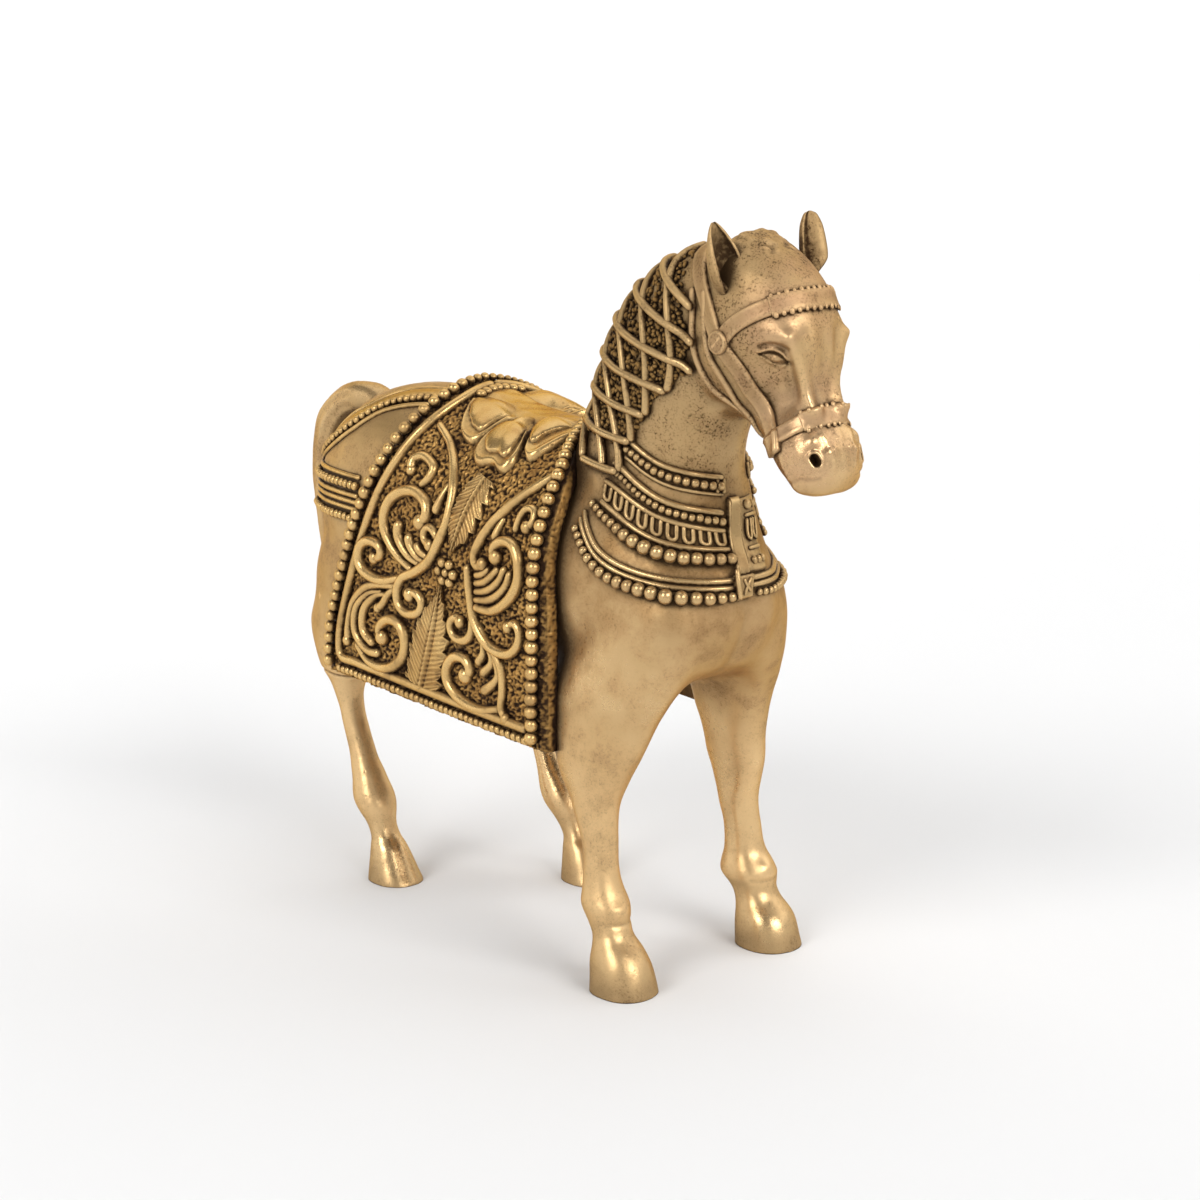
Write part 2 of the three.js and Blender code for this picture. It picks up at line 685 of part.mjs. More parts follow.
for (const [side, word] of SIDES) {
  const hem = drawnHem - beadInset;
  const hemEndInset = railInset + JOINT_GAP;
  const hemFrom = clothRear(1)[0] + hemEndInset;
  const hemTo = clothFront(1)[0] - hemEndInset;
  const hemLine = [0, 1 / 3, 2 / 3, 1].map((share) => [hemFrom + (hemTo - hemFrom) * share, hem]);
  add("cloth_beads_hem_" + word, beadStrand(clothRoute(hemLine, side, 8), BEAD_DIAMETER), ornamentBrass);

  const railHem = drawnHem - railInset;
  const railDown = [0.05, 0.15, 0.3, 0.45, 0.6, 0.75, 0.88].map((share) => {
    return [clothRear(share)[0] + railInset, share * drawnHem];
  });
  const railAlong = [0, 1 / 3, 2 / 3, 1].map((share) => {
    const from = clothRear(1)[0] + railInset + 2;
    const to = clothFront(1)[0] - railInset;
    return [from + (to - from) * share, railHem];
  });
  const railRoute = clothRoute([...railDown, ...railAlong], side, 4);
  add("cloth_rail_" + word, cord(railRoute, RAIL_DIAMETER, 6), ornamentBrass);

  for (const [name, lines] of [["scroll_rear_", SCROLL_REAR], ["scroll_front_", SCROLL_FRONT]]) {
    const strands = lines.map((points) => ridge(clothRoute(points, side, 2)));
    add(name + word, strands.reduce((whole, strand) => whole.add(strand)), ornamentBrass);
  }

  for (const [name, leaf] of [["leaf_upper_", LEAF_UPPER], ["leaf_lower_", LEAF_LOWER]]) {
    const middle = [0, 1].map((axis) => (leaf.root[axis] + leaf.tip[axis]) / 2);
    const route = clothRoute([leaf.root, middle, leaf.tip], side, 3);
    const solid = sweep(route, 7, (step, share) => {
      const half = 0.25 + leaf.half * Math.sin(Math.PI * share ** 0.8) ** 0.8;
      return [[-half, TRIM_GAP], [half, TRIM_GAP], [0, TRIM_GAP + 0.3 + (LEAF_HEIGHT * half) / leaf.half]];
    });
    add(name + word, solid, ornamentBrass);
  }

  const spreadOnCloth = (centre) => (a, b, lift) => {
    const { point, normal } = onCloth(centre[0] + a, centre[1] + b, side);
    return point.addScaledVector(normal, lift);
  };
  const flowerOutline = (angle) => {
    const radius = FLOWER_RADIUS * (0.8 + 0.2 * Math.cos(6 * angle));
    return [radius * Math.cos(angle), radius * Math.sin(angle)];
  };
  const flower = boss(spreadOnCloth(FLOWER_CENTRE), flowerOutline, 12, FLOWER_RIM, FLOWER_HEIGHT);
  add("flower_" + word, flower, ornamentBrass);

  for (const [name, x, drop, halfLength, halfDrop] of PETALS) {
    const outline = (angle) => {
      const notch = 1 - 0.14 * Math.exp(-(((angle - Math.PI / 2) / 0.3) ** 2));
      return [halfLength * notch * Math.cos(angle), halfDrop * notch * Math.sin(angle)];
    };
    const petal = boss(spreadOnCloth([x, drop]), outline, 10, PETAL_RIM, PETAL_HEIGHT);
    add("saddle_petal_" + name + "_" + word, petal, ornamentBrass);
  }
}

// Saddle seat over the spine
const seatPlace = (a, b, lift) => {
  const { point, normal } = onCloth(SEAT_CENTRE_X + a, Math.abs(b), b < 0 ? -1 : 1);
  return point.addScaledVector(normal, lift);
};
const seatOutline = (angle) => [(SEAT_LENGTH / 2) * Math.cos(angle), SEAT_HALF_WIDTH * Math.sin(angle)];
add("saddle_seat", boss(seatPlace, seatOutline, 16, PETAL_RIM, SEAT_HEIGHT), ornamentBrass);

// Collars: level lines round the neck at a height that changes with the angle from the front
function collarRoute(heights, shift, endAngle = COLLAR_END_ANGLE) {
  const read = smoothTable(COLLAR_ANGLES.map((angle, i) => [angle, heights[i]]));
  const places = [];
  for (let step = -12; step <= 12; step += 1) {
    const angle = (endAngle * step) / 12;
    const centre = vec(COLLAR_AXIS_X, 0, read(Math.abs(angle))[0] + shift);
    places.push(onHorse(centre, vec(Math.cos(radians(angle)), Math.sin(radians(angle)), 0)));
  }
  return makeRoute(places);
}

const blend = (share) => MID_COLLAR_TOP.map((z, i) => z + (MID_COLLAR_BASE[i] - z) * share);
const bigStep = BEAD_DIAMETER / 2 + JOINT_GAP;
const upperBand = [1, 0, -1].map((k) => {
  return collarRoute(UPPER_COLLAR, (UPPER_BAND_WIDTH * k) / 2 - UPPER_BAND_DROP);
});
add("collar_upper_band", ribbon(upperBand, BAND_THICKNESS, 4), ornamentBrass);
add("collar_upper_beads", beadStrand(collarRoute(UPPER_COLLAR, 0), SMALL_BEAD_DIAMETER), ornamentBrass);
const middleTop = collarRoute(MID_COLLAR_TOP, 0);
add("collar_middle_beads_top", beadStrand(middleTop, SMALL_BEAD_DIAMETER), ornamentBrass);
const middleBand = [0.28, 0.52, 0.76].map((share) => collarRoute(blend(share), 0));
add("collar_middle_band", ribbon(middleBand, BAND_THICKNESS, 3.4), ornamentBrass);
const middleBase = collarRoute(MID_COLLAR_BASE, 0);
add("collar_middle_beads_base", beadStrand(middleBase, BEAD_DIAMETER), ornamentBrass);
add("breast_collar_rail", cord(collarRoute(BREAST_COLLAR, 0), RAIL_DIAMETER, 4), ornamentBrass);
const breastBeads = collarRoute(BREAST_COLLAR, -RAIL_DIAMETER / 2 - bigStep - JOINT_GAP);
add("breast_collar_beads", beadStrand(breastBeads, BEAD_DIAMETER), ornamentBrass);

const squareOutline = (halfWidth, halfHeight) => (angle) => {
  const reach = Math.min(halfWidth / Math.abs(Math.cos(angle)), halfHeight / Math.abs(Math.sin(angle)));
  return [reach * Math.cos(angle), reach * Math.sin(angle)];
};

const plaqueSpot = onHorse(vec(COLLAR_AXIS_X, 0, blend(0.52)[0]), vec(1, 0, 0));
plaqueSpot.point.addScaledVector(plaqueSpot.normal, TRIM_GAP + BAND_THICKNESS);
const plaqueOutline = squareOutline(PLAQUE_HALF_WIDTH, PLAQUE_HALF_HEIGHT);
const plaque = boss(flatPlace(plaqueSpot, vec(0, 0, 1)), plaqueOutline, 8, PLAQUE_THICKNESS, PLATE_CROWN);
add("collar_plaque", plaque, ornamentBrass);

const claspSpot = onHorse(vec(COLLAR_AXIS_X, 0, BREAST_COLLAR[0] - CLASP_DROP), vec(1, 0, 0));
const claspOutline = squareOutline(CLASP_HALF_SIZE, CLASP_HALF_SIZE);
const clasp = boss(flatPlace(claspSpot, vec(0, 0, 1)), claspOutline, 8, CLASP_THICKNESS, PLATE_CROWN);
add("breast_clasp", clasp, ornamentBrass);

// Net over the mane: knots where two families of cords cross, and points halfway, joined round open cells
const neckStation = smoothTable(NECK);

function netKnot(ahead, back, side) {
  const depth = back - ahead;
  const growth = 1 + NET_TURN_GROWTH * (back - NET_EVEN_STRAND);
  const angle = (NET_TURN * depth - NET_TURN_EASE * depth * depth) * growth;
  const run = (NET_RUN - NET_RUN_EASE * ahead) * angle;
  const station = NET_FIRST + NET_STEP * ahead + run;
  const [crestX, crestZ, throatX, throatZ] = neckStation(station);
  const crest = vec(crestX, 0, crestZ);
  const centre = crest.clone().lerp(vec(throatX, 0, throatZ), 0.5);
  const up = crest.sub(centre).normalize();
  const outward = up.multiplyScalar(Math.cos(radians(angle)));
  outward.addScaledVector(vec(0, side, 0), Math.sin(radians(angle)));
  const { point, normal } = onHorse(centre, outward);
  const low = point.clone().addScaledVector(normal, NET_GAP);
  const name = depth === 0 ? "crest " + ahead : [ahead, back, side].join(" ");
  const high = low.clone().addScaledVector(normal, NET_CORD_HEIGHT);
  return { name, low, high, inside: depth <= Math.min(NET_DEEPEST, NET_CORNER - ahead) };
}

function netCells() {
  const cells = [];
  for (const [side] of SIDES) {
    for (let ahead = 0; ahead + 1 < NET_CORDS; ahead += 1) {
      for (let back = ahead; back < ahead + NET_DEEPEST; back += 1) {
        const corners = [[ahead, back], [ahead, back + 0.5], [ahead, back + 1]];
        corners.push([ahead + 0.5, back + 1], [ahead + 1, back + 1]);
        if (back > ahead) {
          corners.push([ahead + 1, back + 0.5], [ahead + 1, back], [ahead + 0.5, back]);
        } else {
          corners.push([ahead + 0.5, back + 0.5]);
        }
        const cell = corners.map(([i, j]) => netKnot(i, j, side));
        if (!cell.every((knot) => knot.inside)) {
          break;
        }
        cells.push(side < 0 ? cell : cell.reverse());
      }
    }
  }
  return cells;
}

// Open sheet of cells: bars between the knots, with a hole in the middle of each cell
function openSheet(cells, barWidth) {
  const position = [];
  const index = [];
  const numbers = new Map();
  const edges = new Map();
  const number = (name, point) => {
    if (!numbers.has(name)) {
      numbers.set(name, numbers.size);
      position.push(point.x, point.y, point.z);
    }
    return numbers.get(name);
  };
  const quad = (a, b, c, d) => index.push(a, b, c, a, c, d);
  const knotNumber = (knot, level) => number(knot.name + " " + level, knot[level]);
  cells.forEach((cell, cellNumber) => {
    const middle = (level) => {
      const sum = cell.reduce((total, knot) => total.add(knot[level]), vec(0, 0, 0));
      return sum.divideScalar(cell.length);
    };
    const reach = middle("high").distanceTo(cell[0].high.clone().lerp(cell[1].high, 0.5));
    const inset = Math.min(barWidth / 2 / reach, 0.7);
    const hole = (i, level) => {
      const point = cell[i][level].clone().lerp(middle(level), inset);
      return number(["hole", cellNumber, i, level].join(" "), point);
    };
    cell.forEach((knot, i) => {
      const j = (i + 1) % cell.length;
      quad(knotNumber(knot, "high"), knotNumber(cell[j], "high"), hole(j, "high"), hole(i, "high"));
      quad(knotNumber(cell[j], "low"), knotNumber(knot, "low"), hole(i, "low"), hole(j, "low"));
      quad(hole(i, "high"), hole(j, "high"), hole(j, "low"), hole(i, "low"));
      edges.set([knot.name, cell[j].name].join(" to "), [knot, cell[j]]);
    });
  });
  edges.forEach(([from, to]) => {
    if (!edges.has([to.name, from.name].join(" to "))) {
      quad(knotNumber(to, "high"), knotNumber(from, "high"), knotNumber(from, "low"), knotNumber(to, "low"));
    }
  });
  return closedSolid(position, index);
}

add("mane_net", openSheet(netCells(), NET_CORD_WIDTH), ornamentBrass);

// Loop in the plane of the y axis and a direction, from one angle to another
function planeRoute(onSurface, [x, z], [towardX, towardZ], fromAngle, toAngle, count) {
  const looped = toAngle - fromAngle >= 360;
  const places = [];
  for (let step = 0; step < (looped ? count : count + 1); step += 1) {
    const angle = radians(fromAngle + ((toAngle - fromAngle) * step) / count);
    const outward = vec(towardX * Math.cos(angle), Math.sin(angle), towardZ * Math.cos(angle));
    places.push(onSurface(vec(x, 0, z), outward));
  }
  return makeRoute(places, looped);
}

// Bridle
const rosetteSpot = onHorse(vec(ROSETTE_AT[0], 0, ROSETTE_AT[1]), vec(0, -1, 0));
const rosetteReach = Math.abs(rosetteSpot.point.y);
const strapEnd = 90 - THREE.MathUtils.radToDeg((ROSETTE_RADIUS + 2 * JOINT_GAP) / rosetteReach);
const browRoute = planeRoute(onHorse, ROSETTE_AT, BROW_TOWARD, -strapEnd, strapEnd, 12);
add("browband", strap(browRoute, BRIDLE_STRAP_WIDTH, BAND_THICKNESS, 3), bridleBrass);
const crownRoute = planeRoute(onHorse, ROSETTE_AT, CROWN_TOWARD, -strapEnd, strapEnd, 14);
add("crown_strap", strap(crownRoute, BRIDLE_STRAP_WIDTH, BAND_THICKNESS, 3), bridleBrass);
const nosebandRoute = planeRoute(onHead, NOSEBAND_AT, NOSEBAND_TOWARD, 0, 360, 20);
add("noseband", strap(nosebandRoute, BRIDLE_STRAP_WIDTH, BAND_THICKNESS, 3), bridleBrass);
const lashRoute = planeRoute(onHorse, LASH_AT, LASH_TOWARD, LASH_START_ANGLE, 360 - LASH_START_ANGLE, 24);
add("throat_lash", strap(lashRoute, LASH_WIDTH, BAND_THICKNESS, 2.8), bridleBrass);

for (const [side, word] of SIDES) {
  const spot = onHorse(vec(ROSETTE_AT[0], 0, ROSETTE_AT[1]), vec(0, side, 0));
  const rosetteOutline = (angle) => {
    const radius = ROSETTE_RADIUS * (0.92 + 0.08 * Math.cos(6 * angle));
    return [radius * Math.cos(angle), radius * Math.sin(angle)];
  };
  const rosette = boss(flatPlace(spot, vec(0, 0, 1)), rosetteOutline, 12, ROSETTE_RIM, ROSETTE_HEIGHT);
  add("rosette_" + word, rosette, bridleBrass);

  const start = vec(ROSETTE_AT[0], 0, ROSETTE_AT[1]);
  const end = vec(NOSEBAND_AT[0], 0, NOSEBAND_AT[1]);
  const away = end.clone().sub(start).normalize();
  start.addScaledVector(away, ROSETTE_RADIUS + 2 * JOINT_GAP);
  end.addScaledVector(away, -BRIDLE_STRAP_WIDTH / 2 - 3 * JOINT_GAP);
  const places = [0, 0.25, 0.5, 0.75, 1].map((share) => {
    return onHorse(start.clone().lerp(end, share), vec(0, side, 0));
  });
  add("cheek_strap_" + word, strap(makeRoute(places), BRIDLE_STRAP_WIDTH, BAND_THICKNESS, 4), bridleBrass);
}

// Breeching round the rump
function breechingRoute(z) {
  const places = [];
  for (let step = -12; step <= 12; step += 1) {
    const angle = radians(step * 7.5);
    places.push(onTorso(vec(BREECHING_AXIS_X, 0, z), vec(-Math.cos(angle), Math.sin(angle), 0)));
  }
  return makeRoute(places);
}

const breechingMiddle = (BREECHING_TOP_Z + BREECHING_BASE_Z) / 2;
add("breeching_beads_top", beadStrand(breechingRoute(BREECHING_TOP_Z), SMALL_BEAD_DIAMETER), ornamentBrass);
const breechingBand = [1, 0, -1].map((k) => breechingRoute(breechingMiddle + (k * BREECHING_BAND_WIDTH) / 2));
add("breeching_band", ribbon(breechingBand, BAND_THICKNESS, 3.6), ornamentBrass);
add("breeching_beads_base", beadStrand(breechingRoute(BREECHING_BASE_Z), SMALL_BEAD_DIAMETER), ornamentBrass);

// Crupper straps from the cloth along the croup
const crupperAngle = new THREE.SplineCurve(CRUPPER.map(([x, angle]) => new THREE.Vector2(x, angle)));
for (const [side, word] of SIDES) {
  const crupperRoute = (turn) => makeRoute([0, 0.2, 0.4, 0.6, 0.8, 1].map((share) => {
    const spot = crupperAngle.getPoint(share);
    const angle = radians(spot.y + turn);
    return onTorso(vec(spot.x, 0, CLOTH_AXIS_Z), vec(0, side * Math.sin(angle), Math.cos(angle)));
  }));
  const beadStep = (CRUPPER_WIDTH + SMALL_BEAD_DIAMETER) / 2 + 2 * JOINT_GAP;
  const beadTurn = THREE.MathUtils.radToDeg(beadStep / CROUP_RADIUS);
  add("crupper_strap_" + word, strap(crupperRoute(0), CRUPPER_WIDTH, BAND_THICKNESS, 5), ornamentBrass);
  add("crupper_beads_" + word, beadStrand(crupperRoute(beadTurn), SMALL_BEAD_DIAMETER), ornamentBrass);
}

// Origin at the middle of the footprint, on the ground
const box = new THREE.Box3().setFromObject(group);
const middle = box.getCenter(vec());
group.children.forEach((mesh) => mesh.geometry.translate(-middle.x, -middle.y, -box.min.z));

export default group;
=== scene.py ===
# Looks of the brass horse figurine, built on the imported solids.
# Lengths are drawn in millimetres: x forward, y to the horse's left, z up, hooves on z = 0.
import math

import bmesh
import bpy
import numpy as np
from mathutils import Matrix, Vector
from mathutils.bvhtree import BVHTree


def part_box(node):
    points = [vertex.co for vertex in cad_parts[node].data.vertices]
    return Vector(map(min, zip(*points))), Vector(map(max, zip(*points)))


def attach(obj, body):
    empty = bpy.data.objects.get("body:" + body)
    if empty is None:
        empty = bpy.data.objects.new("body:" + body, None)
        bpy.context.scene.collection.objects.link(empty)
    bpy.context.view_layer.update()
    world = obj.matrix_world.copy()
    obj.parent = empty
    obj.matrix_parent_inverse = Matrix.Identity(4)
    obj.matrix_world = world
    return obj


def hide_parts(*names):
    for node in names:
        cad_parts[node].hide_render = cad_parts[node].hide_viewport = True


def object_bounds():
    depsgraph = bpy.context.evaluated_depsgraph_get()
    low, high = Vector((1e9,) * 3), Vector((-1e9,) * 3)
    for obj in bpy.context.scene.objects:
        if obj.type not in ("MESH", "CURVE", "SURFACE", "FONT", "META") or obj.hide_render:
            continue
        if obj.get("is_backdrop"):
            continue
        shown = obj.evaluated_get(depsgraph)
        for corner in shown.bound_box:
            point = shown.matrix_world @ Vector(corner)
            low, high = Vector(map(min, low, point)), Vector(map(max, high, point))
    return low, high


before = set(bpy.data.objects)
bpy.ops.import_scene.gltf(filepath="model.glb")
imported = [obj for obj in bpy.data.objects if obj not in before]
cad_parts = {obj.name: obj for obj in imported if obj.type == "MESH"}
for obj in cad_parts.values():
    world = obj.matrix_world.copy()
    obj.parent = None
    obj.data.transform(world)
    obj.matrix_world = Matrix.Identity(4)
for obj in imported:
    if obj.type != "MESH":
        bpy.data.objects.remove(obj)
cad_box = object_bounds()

# Torso stations: x, back height, belly height, half width
TORSO = [
    (-35, 94, 78, 7), (-33, 98, 72, 13), (-26.5, 107, 65, 18.6), (-17, 113.2, 60, 22),
    (0, 115.3, 58, 23.2), (12, 113.6, 58, 23.2), (30, 108.6, 58, 23.2), (52, 107.6, 57.5, 23.2),
    (70, 107.4, 57.5, 22.4), (85, 101.5, 63, 18.8), (94, 94.5, 66.6, 13.2), (98.5, 89.8, 74, 8.8),
    (100, 87, 79, 4.5),
]
# Neck stations: number, crest x and z, throat x and z, half width
NECK = [
    (0, 45, 98, 92, 70, 16), (1, 53.2, 111.5, 96.4, 86, 16.8), (2, 58.5, 120, 94.2, 97, 14.4),
    (3, 61, 129.3, 92.4, 106, 12.8), (4, 65.5, 138.3, 94.2, 115, 12.2), (5, 73.4, 146.4, 99.8, 124, 11.8),
    (6, 84.4, 151.8, 103, 132, 11.2), (7, 95, 154.7, 108, 139, 10.2),
]
# Head stations from poll to lips: number, face x and z, jaw x and z, half width
HEAD = [
    (0, 101, 157.1, 92, 152, 6), (1, 107.5, 154, 88, 142, 10.2), (2, 113.6, 149.6, 89, 132.8, 11.9),
    (3, 117.8, 143.6, 91.5, 126.2, 12), (4, 120, 136, 95.8, 121, 9), (5, 120, 129, 101, 119.4, 6.4),
    (6, 121.2, 123.5, 106.6, 117.2, 7.3), (7, 124.4, 119, 110.8, 113.2, 8.6),
    (8, 126.1, 113.6, 114.4, 109.8, 8.3), (9, 124.6, 109.2, 117.2, 107.9, 6.4),
    (9.6, 123, 107.8, 119, 107.3, 4),
]
# Leg stations: height, centre x and y, half length, half width
FORELEG_RIGHT = [
    (92, 80, 8.5, 9, 6.5), (84, 82, 9.6, 14.8, 10), (74, 80.8, 11.2, 16.4, 10.6),
    (67, 77.6, 13.2, 16.9, 9.9), (61, 75.4, 15.8, 16.2, 8.4), (56, 73.8, 16.8, 15, 7.5),
    (50, 74.2, 18.2, 12.2, 6.6), (44, 74.1, 19, 9, 5.8), (38.6, 74.8, 19.6, 5.95, 4.6),
    (33.5, 76.1, 20, 4.3, 4.1), (28.5, 77.4, 20.3, 3.7, 3.6), (24, 78, 20.6, 3.8, 3.7),
    (20.6, 78.7, 20.7, 4.4, 4.2), (17.4, 79.6, 20.8, 5.3, 4.8), (14, 81, 20.9, 4.5, 4.3),
    (11.6, 82.2, 21, 4.3, 4.2), (9, 83.8, 21, 5.5, 5.1), (6.6, 84.6, 21, 6.4, 5.9),
    (3.5, 85.3, 21, 7, 6.4), (0, 85.8, 21, 7.4, 6.8),
]
FORELEG_LEFT = [
    (92, 80, 8.5, 9, 6.5), (84, 81.8, 9.6, 14.4, 9.7), (74, 81.6, 11, 14.8, 10), (67, 79.4, 12.8, 15, 9.3),
    (61, 77.4, 16.1, 12.8, 7.2), (56, 76.4, 17.3, 10.6, 6.4), (47, 76.1, 18.4, 8, 5.4),
    (41.5, 75.8, 19.4, 7.2, 5.1), (36, 75.9, 19.9, 5.75, 4.4), (30.5, 76.1, 20.2, 4.3, 4.1),
    (25.1, 77.1, 20.5, 4, 3.9), (20, 77.8, 20.7, 4.5, 4.4), (17.5, 78.4, 20.8, 5.7, 5.3),
    (15, 78.9, 20.9, 6.5, 5.8), (12.5, 80.2, 21, 5, 4.8), (10, 81.7, 21, 5, 4.8),
    (7.4, 83.5, 21, 6.1, 5.7), (4.9, 84.2, 21, 6.8, 6.3), (0, 85.2, 21, 7.4, 6.8),
]
HINDLEG = [
    (88, -8.6, 10.5, 16.6, 8.5), (76, -12.2, 13.2, 17.6, 9.5), (64, -15.8, 14.4, 14.9, 8.8),
    (58, -19, 15, 13.4, 7.8), (53, -20.4, 15.6, 10.8, 6.6), (47.5, -20.5, 16.3, 7.4, 5.3),
    (44, -19.6, 16.8, 4.3, 3.9), (40, -18.6, 17, 3.2, 3), (33, -15.9, 17.1, 2.9, 2.9),
    (28, -13.4, 17.2, 3.2, 3.1), (22.8, -10.9, 17.3, 4.2, 4), (17.5, -8.6, 17.4, 5.2, 4.7),
    (12.5, -6, 17.4, 3.5, 3.4), (9.6, -4.2, 17.4, 3.4, 3.4), (8.2, -3.4, 17.4, 4.1, 4),
    (0, -0.8, 17.4, 6.7, 6.1),
]
# How far the left hind leg stands ahead of the right one, by height
HIND_STEP = [(0, 29), (14, 28.2), (24, 26.8), (44, 23.8), (54, 19.6), (64, 12.8), (76, 5), (92, 0)]
# Tail stations: centre x and z, radius
TAIL = [
    (-18, 104, 4), (-29, 108.3, 3.8), (-39.5, 107.4, 3.8), (-46.8, 101.5, 4.4), (-49.1, 91, 4.6),
    (-48, 77, 4.6), (-45, 63, 3.8), (-42, 52, 2),
]
# Cloth edges: share of the drop from the spine to the hem, edge x
CLOTH_REAR = [(0, 11), (0.15, 12.5), (0.35, 7.5), (0.6, -2.5), (0.85, -11), (1, -12.5)]
CLOTH_FRONT = [(0, 50), (0.12, 58), (0.25, 64.5), (0.4, 66.5), (1, 67.5)]
CLOTH_GAP = 0.97
CLOTH_THICKNESS = 3.2
CLOTH_HEM_Z = 50.35
HEM_FALL = 0.03
CLOTH_AXIS_Z = 86
CLOTH_DROP = 84
EDGE_END = 0.985

# Collars: height at angles from the front, seen from the collar axis
COLLAR_AXIS_X = 75
COLLAR_ANGLES = (0, 45, 85, 110)
UPPER_COLLAR = (105, 107.8, 113, 113.8)
MID_COLLAR_TOP = (97.8, 101, 107, 108.6)
LOOPS_TOP = (95.9, 99.2, 104.4, 106.6)
MID_COLLAR_BASE = (90.6, 92.2, 97.6, 101.8)
BREAST_COLLAR = (86.4, 87, 91, 99.2)
UPPER_END, MID_TOP_END, LOOPS_END, MID_BASE_END, BREAST_END = 80, 91, 96, 104, 107

# Net over the mane: first station and step of the falling cords, their run ahead for each degree and its ease
NET_FIRST, NET_STEP, NET_RUN, NET_RUN_EASE = 2.25, 0.79, 0.0115, 0.001
# Turn from knot to knot in degrees, its ease downward and its growth ahead
NET_TURN, NET_TURN_EASE, NET_TURN_GROWTH = 42, 4.7, 0.11
NET_CORD, NET_POINTS, FALLING_LIFT, UPRIGHT_LIFT = 0.86, 12, 1.3, 0.85
# Falling cords by number, first and last knot; upright cords the same
NET_FALLING = [(-2, 2, 4), (-1, 1, 4), (0, 0, 4), (1, 0, 4), (2, 0, 4), (3, 0, 3), (4, 0, 2)]
NET_UPRIGHT = [(0, 0, 2), (1, 0, 3), (2, 0, 4), (3, 0, 4), (4, 0, 4), (5, 0, 4)]

# Bridle: middle of the discs, middle of the noseband and the direction of its front
ROSETTE_AT = (103.6, 136.3)
NOSEBAND_AT = (113.5, 117.8)
NOSEBAND_TOWARD = (0.832, 0.555)
# How far out the rays start that seat the noseband, and half the angle of its wide front
NOSE_REACH, NOSE_FRONT = 15, 38

BREECHING_AXIS_X = -4.5
BREECHING_TOP_Z, BREECHING_BASE_Z = 93.6, 86.2
# Rails of the breeching: height, radius
BREECHING_RAILS = ((95.5, 0.6), (91.4, 0.65), (89.9, 0.6), (88.3, 0.6))
# Crupper: x and angle from the spine, then turns of its cords, flat strap and bead row from that line
CRUPPER = [(7, 10), (-6, 20), (-14, 32), (-22, 41), (-29, 46)]
CRUPPER_CORDS, CRUPPER_STRAP, CRUPPER_ROW = (-4, 3.6, 11.5), -0.2, 7.5
CRUPPER_CORD, CRUPPER_WIDTH, CRUPPER_RISE = 0.6, 2.6, 0.5

VOXEL = 0.5
SOLE_SPARE = 3
SUPER_POWER = 2.2
BEAD = 2.9
RUMP_BEAD = 1.95
SIDES = ((-1, "right"), (1, "left"))
# How far out the rays start that seat collars and rump straps on the body
NEAR_REACH = 34

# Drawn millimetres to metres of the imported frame, from the torso's two ends
torso_low, torso_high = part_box("torso")
SCALE = (torso_high.x - torso_low.x) / (TORSO[-1][0] - TORSO[0][0])
SHIFT = torso_high.x - TORSO[-1][0] * SCALE
rng = np.random.default_rng(7)


def to_world(points):
    world = np.asarray(points, float) * SCALE
    world[:, 0] += SHIFT
    return world


def unit(vectors):
    return vectors / np.maximum(np.linalg.norm(vectors, axis=-1, keepdims=True), 1e-9)


def smooth_table(rows):
    """Reads a table smoothly between its rows, by its first column."""
    table = np.array(rows, float)
    keys, values = table[:, 0], table[:, 1:]
    slopes = np.empty_like(values)
    slopes[1:-1] = (values[2:] - values[:-2]) / (keys[2:] - keys[:-2])[:, None]
    slopes[0] = (values[1] - values[0]) / (keys[1] - keys[0])
    slopes[-1] = (values[-1] - values[-2]) / (keys[-1] - keys[-2])

    def read(key):
        key = np.clip(np.asarray(key, float), keys[0], keys[-1])
        i = np.clip(np.searchsorted(keys, key, side="right") - 1, 0, len(keys) - 2)
        span = (keys[i + 1] - keys[i])[..., None]
        t = (key - keys[i])[..., None] / span
        rise = values[i + 1] - values[i]
        curve = values[i] + rise * t * t * (3 - 2 * t)
        return curve + span * t * (1 - t) * (slopes[i] * (1 - t) - slopes[i + 1] * t)

    return read


def lengths(points):
    """Length along a line at each of its points."""
    return np.concatenate([[0], np.cumsum(np.linalg.norm(np.diff(points, axis=0), axis=1))])


def curve_through(points, step):
    """Even points on a smooth curve through a few given ones."""
    points = np.array(points, float)
    reach = lengths(points)
    read = smooth_table(np.column_stack([reach, points]))
    return read(np.linspace(0, reach[-1], max(4, int(reach[-1] / step) + 1)))


def ring_stack(centres, across, up, sides):
    angle = 2 * np.pi * (np.arange(sides) + 0.5) / sides
    bend = lambda value: np.sign(value) * np.abs(value) ** (2 / SUPER_POWER)
    c, s = bend(np.cos(angle))[None, :, None], bend(np.sin(angle))[None, :, None]
    return centres[:, None] + across[:, None] * c + up[:, None] * s


def loft(rings, closed=False):
    """Closed body through rings of equal point count."""
    count, sides = rings.shape[:2]
    index = np.arange(count * sides).reshape(count, sides)
    here, after = (index, np.roll(index, -1, 0)) if closed else (index[:-1], index[1:])
    quads = np.stack([here, np.roll(here, -1, 1), np.roll(after, -1, 1), after], -1)
    faces = quads.reshape(-1, 4).tolist()
    if not closed:
        faces += [index[0][::-1].tolist(), index[-1].tolist()]
    return rings.reshape(-1, 3), faces


